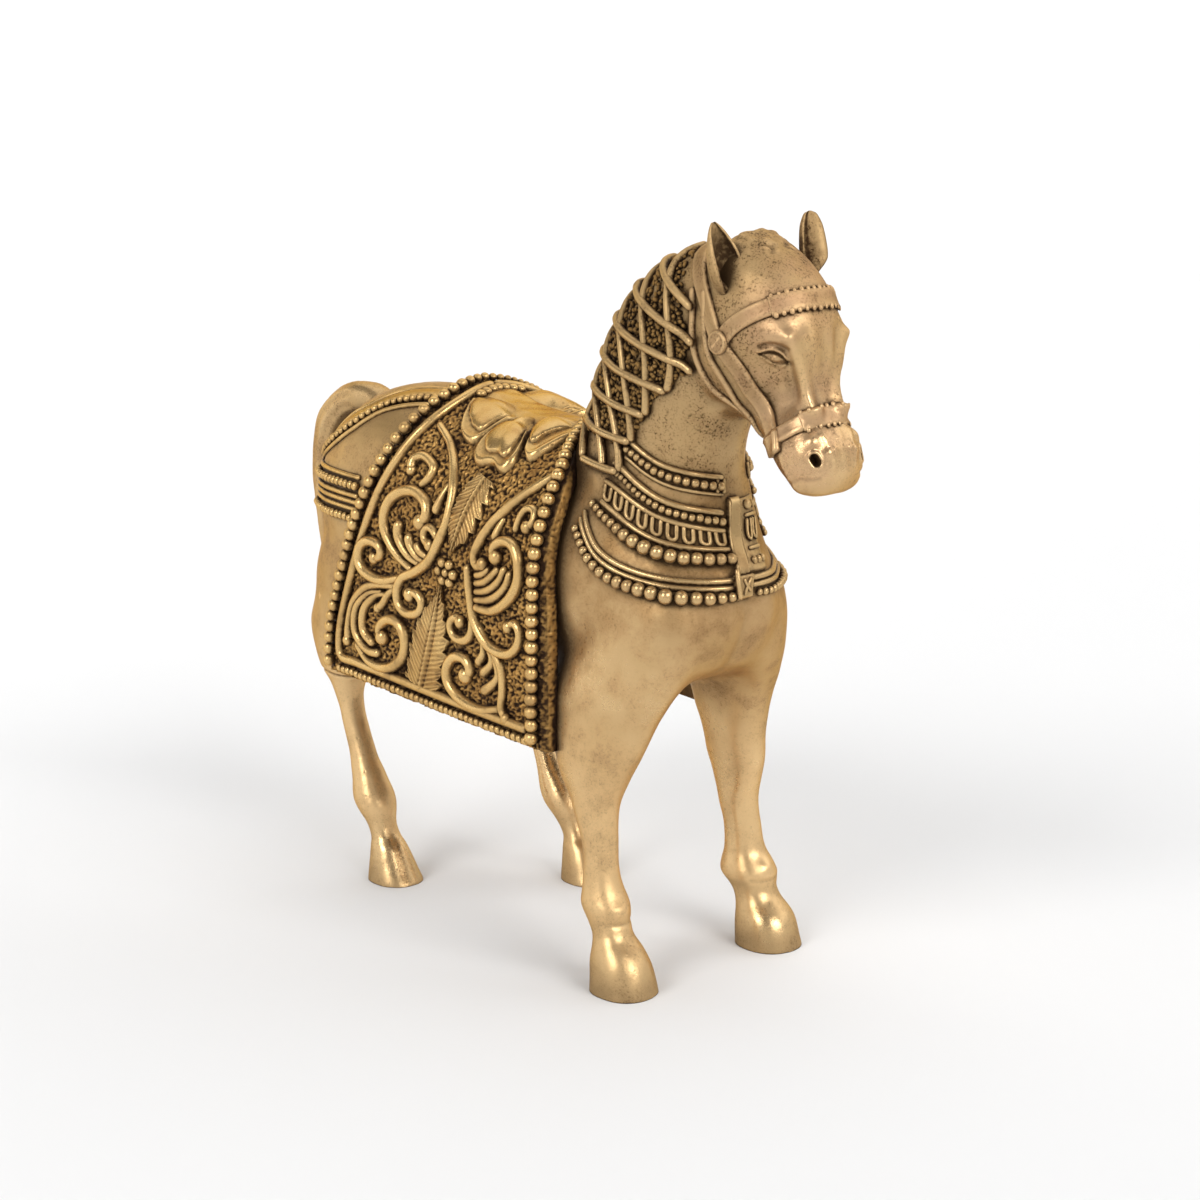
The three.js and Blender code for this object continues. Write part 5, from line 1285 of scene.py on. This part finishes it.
# Height of the ridge by x
RIDGE = [(16, 0.4), (20, 0.8), (31, 1.1), (38, 1.2), (42, 1.1), (49, 1), (57, 0.5)]


def seat_body():
    columns, rows = 80, 61
    u, v = np.meshgrid(np.linspace(-1, 1, columns), np.linspace(-1, 1, rows), indexing="ij")
    x = SEAT_MIDDLE + SEAT_REACH * u
    drop = v * (SEAT_HALF * np.sqrt(np.clip(1 - np.abs(u) ** 4, 0.02, 1)))
    edge = np.clip((1 - np.abs(v)) / 0.5, 0.02, 1) * np.clip((1 - np.abs(u)) / 0.2, 0.02, 1)
    dents = SEAT_DENTS * np.sin(x * 1.1) * np.sin(drop * 0.8) * edge
    rise = smooth_table(RIDGE)(x)[..., 0] * edge ** 0.7 + dents
    share, side = np.abs(drop) / CLOTH_DROP, np.where(drop < 0, -1, 1)
    top, _ = cloth_at(x, share, side, rise)
    base, _ = cloth_at(x, share, side, -PATCH_ROOT)
    return np.vstack([top.reshape(-1, 3), base.reshape(-1, 3)]), sheet_faces(columns, rows)


seat_shape = Shape().add(seat_body())
for drop in np.linspace(-CANTLE_REACH, CANTLE_REACH, 7):
    share = abs(drop) / CLOTH_DROP
    spot, normal = cloth_at(cloth_rear(share) + CANTLE_INSET, share, -1 if drop < 0 else 1)
    seat_shape.add(ball(spot + normal * 0.3, CANTLE_LUMP))
trim("lotus_seat", seat_shape, "saddle_seat")


# Collars round the neck and breast
def collar_arc(heights, first, last, shift=0.0):
    """Route on the neck from one angle to another, seen from the collar axis."""
    read = smooth_table(list(zip(COLLAR_ANGLES, heights)))
    places = []
    for angle in np.linspace(first, last, 3 + int(abs(last - first))):
        z = float(read(abs(angle))[0]) + shift
        turn = math.radians(angle)
        outward = (math.cos(turn), math.sin(turn), 0)
        places.append(seat(skin_tree, (COLLAR_AXIS_X, 0, z), outward, NEAR_REACH))
    return route_of(places, 4)


def between(share):
    return [a + (b - a) * share for a, b in zip(LOOPS_TOP, MID_COLLAR_BASE)]


# Bead sizes from the back of each row to its front
UPPER_SIZES = smooth_table([(0, 0.76), (0.5, 0.9), (1, 1)])
BASE_SIZES = {
    "right": smooth_table([(0, 0.58), (0.2, 0.66), (0.35, 0.9), (0.5, 1), (0.75, 0.9), (1, 0.78)]),
    "left": smooth_table([(0, 0.58), (0.4, 0.72), (1, 0.5)]),
}
BREAST_SIZES = {
    "right": smooth_table([(0, 0.58), (0.25, 0.74), (0.5, 0.95), (0.7, 1), (0.85, 0.8), (1, 0.58)]),
    "left": smooth_table([(0, 0.58), (0.4, 0.76), (0.7, 0.62), (1, 0.45)]),
}
UPPER_BEAD, MID_BEAD, BIG_BEAD = 1.95, 1.75, 3.05
UPPER_START = {"right": 3, "left": 34}
MID_START = {"right": 5, "left": 47}
CLASP_START = 5
# Rails beside a bead row: shift up from it, radius
UPPER_RAILS = ((1.75, 0.62), (-1.75, 0.45))
BREAST_RAILS = ((0.75, 0.66), (-0.65, 0.66))
# Upright stops at the front of the upper collar: turns from its end, shifts up, radius
STOP_TURNS, UPPER_STOPS, STOP_RADIUS = (0, 5), (1.6, 0, -1.6), 0.5
# Loops of the middle collar: shares of the way from the upper to the lower row, and pitch
LOOP_SHARES = (0.03, 0.18, 0.31, 0.42, 0.49, 0.55)
LOOP_PITCH, LOOP_CORD = 3.2, 0.52
LOOP_TOP_RAIL, LOOP_BASE_RAIL, LOOP_BASE_SHARE = 0.62, 0.72, 0.67
MID_RAIL_SHIFT, MID_RAIL, BREAST_ROW_SHIFT = 1.65, 0.75, -2.4

upper, upper_row, top_row, loops, base_row, breast_rails, breast_row = (Shape() for _ in range(7))
for side, word in SIDES:
    upper_start, mid_start = side * UPPER_START[word], side * MID_START[word]
    for shift, radius in UPPER_RAILS:
        upper.add(tube(collar_arc(UPPER_COLLAR, side * UPPER_END, upper_start, shift), radius))
    for turn in STOP_TURNS:
        angle = upper_start + side * turn
        stop = [collar_arc(UPPER_COLLAR, angle, angle + 0.1, shift).points[0] for shift in UPPER_STOPS]
        outward = [(math.cos(math.radians(angle)), math.sin(math.radians(angle)), 0)] * len(stop)
        upper.add(tube(Route(stop, outward), STOP_RADIUS, 0.5))
    upper_line = collar_arc(UPPER_COLLAR, side * UPPER_END, upper_start)
    bead_row(upper_row, upper_line, UPPER_BEAD, grow=UPPER_SIZES)
    top_line = collar_arc(MID_COLLAR_TOP, side * MID_TOP_END, mid_start)
    bead_row(top_row, top_line, MID_BEAD, grow=UPPER_SIZES)
    top_row.add(tube(collar_arc(MID_COLLAR_TOP, side * MID_TOP_END, mid_start, MID_RAIL_SHIFT), MID_RAIL))

    loops_end = side * LOOPS_END
    rail_top = collar_arc(LOOPS_TOP, loops_end, mid_start)
    loops.add(tube(rail_top, LOOP_TOP_RAIL))
    loops.add(tube(collar_arc(between(LOOP_BASE_SHARE), loops_end, mid_start), LOOP_BASE_RAIL))
    rows = [collar_arc(between(share), loops_end, mid_start) for share in LOOP_SHARES]
    loop_count = round(rail_top.length / LOOP_PITCH)
    for k in range(loop_count):
        near, far, middle = ((k + share) / loop_count for share in (0.22, 0.78, 0.5))
        going_down = [(row, near) for row in rows[:-1]]
        going_up = [(row, far) for row in rows[-2::-1]]
        spots = going_down + [(rows[-1], middle)] + going_up
        places = [row.at(row.length * share) for row, share in spots]
        loop = Route([p[0][0] for p in places], [p[2][0] for p in places], soften=1)
        loops.add(tube(loop, LOOP_CORD, 0.4, 8, 0.5))

    base_line = collar_arc(MID_COLLAR_BASE, side * MID_BASE_END, mid_start)
    bead_row(base_row, base_line, BIG_BEAD, grow=BASE_SIZES[word])
    for shift, radius in BREAST_RAILS:
        breast_rails.add(tube(collar_arc(BREAST_COLLAR, side * BREAST_END, side, shift), radius))
    breast_line = collar_arc(BREAST_COLLAR, side * BREAST_END, side * CLASP_START, BREAST_ROW_SHIFT)
    bead_row(breast_row, breast_line, BIG_BEAD, grow=BREAST_SIZES[word])
collar("collar_upper_rails", upper, "collar_upper_band")
collar("collar_upper_row", upper_row, "collar_upper_beads")
collar("collar_middle_row_top", top_row, "collar_middle_beads_top")
collar("collar_loops", loops, "collar_middle_band")
collar("collar_middle_row_base", base_row, "collar_middle_beads_base")
collar("breast_rails", breast_rails, "breast_collar_rail")
collar("breast_row", breast_row, "breast_collar_beads")


# Plates on the front of the collars
FRONT_OUT = np.array([0.95, 0, 0.3])
FRONT_LEAN = 0.2
PLATE_GRID = 17


def front_place(y, z, lift):
    y = y + FRONT_LEAN * max(0, z - BREAST_COLLAR[0])
    return seat(skin_tree, (COLLAR_AXIS_X, y, z), (1, 0, 0), NEAR_REACH)[0] + FRONT_OUT * lift


def plate(shape, low, high, first, last, rise):
    """Rounded plate on the breast between two heights and two sides, leaning to the left as it rises."""
    steps = np.linspace(-1, 1, PLATE_GRID)
    u, v = np.meshgrid(steps, steps, indexing="ij")
    top, base = [], []
    for a, b in zip(u.ravel(), v.ravel()):
        y = first + (last - first) * (a + 1) / 2
        z = low + (high - low) * (b + 1) / 2
        point = front_place(y, z, 0)
        edge = min(1, (1 - max(abs(a), abs(b))) / 0.12 + 0.55)
        top.append(point + FRONT_OUT * rise * edge)
        base.append(point - np.array([1, 0, 0]))
    return shape.add((np.array(top + base), sheet_faces(PLATE_GRID, PLATE_GRID)))


def front_cord(shape, points, lift, radius):
    line = [front_place(y, z, lift) for y, z in curve_through(points, 0.5)]
    return shape.add(tube(Route(line, [FRONT_OUT for _ in line], soften=3), radius, 0.2, 8))


# Plates: low and high edge, first and last side, rise
PLAQUE_BAR = (87.4, 102.6, -3.3, -0.3, 1.3)
PLAQUE_PANEL = (88.2, 102, -0.4, 5.4, 0.8)
CLASP_BLOCK = (83, 88, -4, 0.6, 1.7)
# Cords of the panel: heights of the level ones, then sides of the hanging loops and their line from there
PANEL_LEVELS, PANEL_LOOPS = (98.6, 92.4), (2.1, 4)
PANEL_LOOP = [(-0.55, 98), (-0.6, 94.4), (0, 93.5), (0.6, 94.4), (0.55, 98)]
# Knobs and lumps of the panel: y, z, lift, radii
PANEL_KNOBS = [(2, 100.6, 0.9, (0.9, 1.1, 1.1)), (4.2, 100.4, 0.8, (0.7, 0.8, 0.8))]
PANEL_KNOBS += [(y, 90.2, 0.8, (0.7, 0.75, 0.9)) for y in (1.6, 3, 4.4)]
# Cords of the clasp as y and z: the lip on its near side, and two that cross
CLASP_LIP = [(-4.2, 89.2), (-4.1, 86.4), (-3.8, 83.2)]
CLASP_CROSS = [
    [(-2.6, 87.2), (-1.6, 85.6), (-0.2, 84.4)], [(-0.4, 87.2), (-1.6, 85.6), (-2.4, 83.8)],
]

# Plaque: a plain upright bar, and beside it a panel with knobs, two loops and a row of lumps
plaque = plate(Shape(), *PLAQUE_BAR)
plate(plaque, *PLAQUE_PANEL)
for z in PANEL_LEVELS:
    front_cord(plaque, [(1, z), (3, z), (5, z)], 0.8, 0.45)
for middle in PANEL_LOOPS:
    front_cord(plaque, [(middle + y, z) for y, z in PANEL_LOOP], 1, 0.42)
for y, z, lift, radii in PANEL_KNOBS:
    plaque.add(ball(front_place(y, z, lift), radii))
collar("collar_front_plaque", plaque, "collar_plaque")

# Clasp: a small block with a raised lip on its near side
clasp = plate(Shape(), *CLASP_BLOCK)
front_cord(clasp, CLASP_LIP, 1.7, 0.55)
for points in CLASP_CROSS:
    front_cord(clasp, points, 1.6, 0.45)
collar("breast_knot", clasp, "breast_clasp")

# Net over the mane, with curls of hair in its cells
neck_read = smooth_table(NECK)


def mane_place(station, angle, side):
    crest_x, crest_z, throat_x, throat_z, _ = neck_read(station)
    crest = np.array([crest_x, 0, crest_z])
    centre = (crest + np.array([throat_x, 0, throat_z])) / 2
    turn = math.radians(angle)
    outward = unit(crest - centre) * math.cos(turn) + np.array([0, side * math.sin(turn), 0])
    return seat(skin_tree, centre, outward)


def net_place(ahead, depth, side):
    """Place on the neck for a falling cord number and a count of knots below the crest."""
    growth = 1 + NET_TURN_GROWTH * (ahead + depth - 2)
    angle = (NET_TURN * depth - NET_TURN_EASE * depth * depth) * growth
    station = NET_FIRST + NET_STEP * ahead + (NET_RUN - NET_RUN_EASE * ahead) * angle
    return mane_place(station, angle, side)


def net_cord(spots, side, lift):
    places = [net_place(ahead, depth, side) for ahead, depth in spots]
    return tube(route_of(places, 6), NET_CORD, lift)


def knots(first, last):
    return np.linspace(first, last, NET_POINTS * (last - first) + 1)


net = Shape()
for side, _ in SIDES:
    for ahead, first, last in NET_FALLING:
        net.add(net_cord([(ahead, depth) for depth in knots(first, last)], side, FALLING_LIFT))
    for back, first, last in NET_UPRIGHT:
        net.add(net_cord([(back - depth, depth) for depth in knots(first, last)], side, UPRIGHT_LIFT))
collar("mane_lattice", net, "mane_net")

# Curls: first, last and step ahead; first and step down, lowest, and where that runs up ahead; bare corner
CURL_AHEAD = (-1.1, 4.9, 0.16)
CURL_TOP, CURL_DOWN, CURL_LOWEST, CURL_SLANT = 0.04, 0.13, 3.7, 5.5
CURL_BARE_AHEAD, CURL_BARE_DOWN = 0, 1
curls = Shape()
for side, _ in SIDES:
    for ahead in np.arange(*CURL_AHEAD):
        lowest = min(CURL_LOWEST, CURL_SLANT - ahead)
        for depth in np.arange(CURL_TOP, lowest, CURL_DOWN):
            spot = ahead + rng.uniform(-0.07, 0.07), depth + rng.uniform(-0.05, 0.05)
            size = rng.uniform(0.5, 0.95)
            axes = np.linalg.qr(rng.normal(size=(3, 3)))[0]
            if ahead < CURL_BARE_AHEAD and depth < CURL_BARE_DOWN:
                continue
            point, normal = net_place(*spot, side)
            radii = (size * rng.uniform(0.8, 1.5), size * rng.uniform(0.7, 1), size * 0.75)
            curls.add(ball(point + normal * size * 0.1, radii, axes, SMALL_BALL))
piece("mane_curls", curls, MANE_SHADE_BRASS, "cloth_brass")


# Bridle
def nose_route(low, high, count):
    """Route round the nose from one angle to another, closed when it goes all the way."""
    closed = high - low >= 360
    at, toward = NOSEBAND_AT, NOSEBAND_TOWARD
    places = []
    for angle in np.radians(np.linspace(low, high, count, endpoint=not closed)):
        outward = (toward[0] * math.cos(angle), math.sin(angle), toward[1] * math.cos(angle))
        places.append(seat(skin_tree, (at[0], 0, at[1]), outward, NOSE_REACH))
    return route_of(places, 5, closed)


def skin_route(points):
    """Route on the skin under a smooth curve through a few points."""
    hits = [skin_tree.find_nearest(Vector(p)) for p in curve_through(points, 0.5)]
    return route_of([hit[:2] for hit in hits], 4)


def mirrored(points, side):
    return [(x, side * y, z) for x, y, z in points]


STITCH_RADII = (0.52, 0.68, 0.42)


def stitched_band(shape, route, width, rise, pitch):
    """Wide band with a row of short nicks along both edges."""
    shape.add(strap(route, width, rise, step=0.3))
    for edge in (-0.5, 0.5):
        count = int(route.length / pitch)
        point, along, normal, across = route.at((np.arange(count) + 0.5) * route.length / count)
        for i in range(count):
            spot = point[i] + across[i] * edge * width * 0.94 + normal[i] * rise * 0.62
            size = rng.uniform(0.7, 1.15)
            radii = [radius * size for radius in STITCH_RADII]
            shape.add(ball(spot, radii, (along[i], across[i], normal[i]), SMALL_BALL))
    return shape


STRAP_WIDTH, STRAP_RISE = 3.5, 0.75
BROW_BAND, NOSE_BAND, BAND_RISE, STITCH = 4, 4, 0.8, 1.45
BROW_LINE = [
    (103.8, 12.1, 136.6), (106.4, 11.8, 139.4), (109.2, 11.1, 141.4), (113.1, 8.8, 143.5),
    (115.7, 5.6, 144.6), (117, 0, 145),
]
BROW_STITCHED = [(113.4, 8.6, 143.6), (115.7, 5.6, 144.6), (117, 0, 145)]
CROWN_LINE = [
    (102.6, 12.1, 137), (100, 11.7, 141.2), (97.1, 11, 145.7), (93.9, 8.9, 150.1), (91, 5, 153),
    (89.8, 0, 153.8),
]
LASH_RADIUS = 0.8
LASH_LINES = [
    [(94.1, 10.8, 146), (94.1, 10.8, 143.5), (94.8, 10.8, 134.7), (96.8, 9.9, 129), (98.9, 9.2, 125.2),
     (102.8, 8.7, 121.6), (105.6, 0, 117)],
    [(97.6, 11.2, 146), (98.1, 11.3, 143.9), (99.6, 11.8, 135.3), (102.7, 10.9, 127.8),
     (104.4, 7.6, 120.8), (107, 0, 116.4)],
]


def whole(points):
    """A line drawn on the left, carried over to the right."""
    return mirrored(points, -1) + mirrored(points[-2::-1], 1)


brow = Shape().add(strap(skin_route(whole(BROW_LINE)), STRAP_WIDTH, STRAP_RISE))
stitched_band(brow, skin_route(whole(BROW_STITCHED)), BROW_BAND, BAND_RISE, STITCH)
bridle("brow_strap", brow, "browband")
crown = Shape().add(strap(skin_route(whole(CROWN_LINE)), STRAP_WIDTH, STRAP_RISE))
bridle("poll_strap", crown, "crown_strap")

nose = Shape().add(strap(nose_route(0, 360, 160), STRAP_WIDTH, STRAP_RISE))
stitched_band(nose, nose_route(-NOSE_FRONT, NOSE_FRONT, 120), NOSE_BAND, BAND_RISE, STITCH)
bridle("nose_strap", nose, "noseband")

lash = Shape()
for line in LASH_LINES:
    lash.add(tube(skin_route(whole(line)), LASH_RADIUS, 0.2, flat=0.9))
bridle("lash_cords", lash, "throat_lash")

# Discs: radius and height from the middle of the face to the rim
DISC_PROFILE = [(0.02, 1.42), (1.3, 1.4), (1.65, 1.33), (1.9, 1.42), (2.15, 1.35), (2.32, 1.1), (2.4, -0.8)]
CHEEK_LINE = [
    (104.4, 11.9, 135), (106.9, 11.4, 131.2), (109.1, 9.4, 125.4), (111.9, 8, 120.8), (114.1, 8.2, 118.2),
    (115.4, 8.3, 116),
]
TAB_WIDTH, TAB_RISE = 4.2, 1.2
TAB_LINE = [(113.2, 8.2, 119.4), (114.2, 8.2, 118), (115.6, 8.3, 115.6)]
for side, word in SIDES:
    point, normal = seat(skin_tree, (ROSETTE_AT[0], 0, ROSETTE_AT[1]), (0, side, 0))
    across = unit(np.cross([0, 0, 1], normal))
    upward = np.cross(normal, across)
    turn = np.radians(np.arange(36) * 10)
    rings = []
    for radius, lift in DISC_PROFILE:
        sideways = np.outer(np.cos(turn) * radius, across)
        rings.append(point + normal * lift + sideways + np.outer(np.sin(turn) * radius, upward))
    bridle("strap_disc_" + word, Shape().add(loft(np.array(rings))), "rosette_" + word)

    cheek = Shape().add(strap(skin_route(mirrored(CHEEK_LINE, side)), STRAP_WIDTH, STRAP_RISE))
    cheek.add(strap(skin_route(mirrored(TAB_LINE, side)), TAB_WIDTH, TAB_RISE))
    bridle("cheek_band_" + word, cheek, "cheek_strap_" + word)


# Breeching round the rump and crupper along the croup
def breeching_route(z):
    places = []
    for angle in np.radians(np.linspace(-90, 90, 121)):
        outward = (-math.cos(angle), math.sin(angle), 0)
        places.append(seat(skin_tree, (BREECHING_AXIS_X, 0, z), outward, NEAR_REACH))
    return route_of(places, 5)


for name, z in (("top", BREECHING_TOP_Z), ("base", BREECHING_BASE_Z)):
    row = bead_row(Shape(), breeching_route(z), RUMP_BEAD)
    trim("breeching_row_" + name, row, "breeching_beads_" + name)
breeching = Shape()
for z, radius in BREECHING_RAILS:
    breeching.add(tube(breeching_route(z), radius))
trim("breeching_rails", breeching, "breeching_band")

crupper_read = smooth_table([(-x, angle) for x, angle in CRUPPER])


def crupper_route(turn, side):
    places = []
    for x in np.linspace(CRUPPER[0][0], CRUPPER[-1][0], 60):
        angle = math.radians(float(crupper_read(-x)[0]) + turn)
        outward = (0, side * math.sin(angle), math.cos(angle))
        places.append(seat(skin_tree, (x, 0, CLOTH_AXIS_Z), outward, NEAR_REACH))
    return route_of(places, 5)


for side, word in SIDES:
    rails = Shape()
    for turn in CRUPPER_CORDS:
        rails.add(tube(crupper_route(turn, side), CRUPPER_CORD))
    rails.add(strap(crupper_route(CRUPPER_STRAP, side), CRUPPER_WIDTH, CRUPPER_RISE))
    trim("crupper_rails_" + word, rails, "crupper_strap_" + word)
    row = bead_row(Shape(), crupper_route(CRUPPER_ROW, side), RUMP_BEAD)
    trim("crupper_row_" + word, row, "crupper_beads_" + word)

# Floor, light and camera
CAMERA_AZIMUTH, CAMERA_ELEVATION = math.radians(50), math.radians(13.3)
CAMERA_AT = (456.018, -338.182, 198.675)
LENS, SENSOR, CLIP_START = 75, 36, 0.01
FLOOR_FLAT, FLOOR_EDGE, FLOOR_RISE = 1.6, 3.0, 1.4
FLOOR_SIDES, FLOOR_GREY = 96, 0.83
SKY = 0.26
# Lamps: name, where the light comes from, strength, width in degrees
LAMPS = [
    ("key", (0.05, -0.84, 0.64), 1.15, 28), ("front", (0.9, 0.05, 0.5), 2.3, 38),
    ("side", (0.35, 0.85, 0.4), 0.9, 55), ("top", (-0.4, 0.35, 0.85), 1.0, 70),
]

# Pale floor that sweeps up all round into a backdrop
turn = np.linspace(0, np.pi / 2, 24)
radii = FLOOR_FLAT + (FLOOR_EDGE - FLOOR_FLAT) * np.sin(turn)
profile = [(0.001, 0)] + list(zip(radii, FLOOR_RISE * (1 - np.cos(turn))))
round_turn = np.linspace(0, 2 * np.pi, FLOOR_SIDES, endpoint=False)
circle = np.column_stack([np.cos(round_turn), np.sin(round_turn)])
floor_rings = [np.column_stack([circle * radius, np.full(FLOOR_SIDES, z)]) for radius, z in profile]
floor_points, floor_faces = loft(np.array(floor_rings))
floor_mesh = mesh_from("floor", floor_points, floor_faces[:-1], outward=False)
floor = new_object("floor", floor_mesh)
paper = bpy.data.materials.new("pale_floor")
paper.use_nodes = True
nodes, links = paper.node_tree.nodes, paper.node_tree.links
nodes.clear()
matte = nodes.new("ShaderNodeBsdfDiffuse")
matte.inputs["Color"].default_value = (FLOOR_GREY, FLOOR_GREY, FLOOR_GREY, 1)
links.new(matte.outputs[0], nodes.new("ShaderNodeOutputMaterial").inputs["Surface"])
floor_mesh.materials.append(paper)
floor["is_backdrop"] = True

world = bpy.data.worlds.new("studio")
bpy.context.scene.world = world
world.use_nodes = True
nodes, links = world.node_tree.nodes, world.node_tree.links
nodes.clear()
ambient = nodes.new("ShaderNodeBackground")
ambient.inputs["Color"].default_value = (1, 1, 1, 1)
ambient.inputs["Strength"].default_value = SKY
links.new(ambient.outputs[0], nodes.new("ShaderNodeOutputWorld").inputs["Surface"])


def soft_lamp(name, toward, strength, spread_angle):
    """Even light from one side of the studio, soft by its width."""
    light = bpy.data.lights.new(name, "SUN")
    light.energy = strength
    light.angle = math.radians(spread_angle)
    lamp = new_object(name, light)
    lamp.location = toward
    lamp.rotation_mode = "QUATERNION"
    lamp.rotation_quaternion = (-Vector(toward)).to_track_quat("-Z", "Y")


for lamp in LAMPS:
    soft_lamp(*lamp)

camera = bpy.data.cameras.new("camera")
camera.lens = LENS
camera.sensor_width = SENSOR
camera.clip_start = CLIP_START
eye = new_object("camera", camera)
eye.location = to_world(np.array([CAMERA_AT]))[0]
flat = math.cos(CAMERA_ELEVATION)
away_x, away_y = math.sin(CAMERA_AZIMUTH) * flat, -math.cos(CAMERA_AZIMUTH) * flat
toward = Vector((away_x, away_y, math.sin(CAMERA_ELEVATION)))
eye.rotation_mode = "QUATERNION"
eye.rotation_quaternion = (-toward).to_track_quat("-Z", "Y")
bpy.context.scene.camera = eye
bpy.context.scene.view_settings.view_transform = "Standard"

sizes = {"cad": [list(corner) for corner in cad_box], "visual": [list(corner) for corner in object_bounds()]}
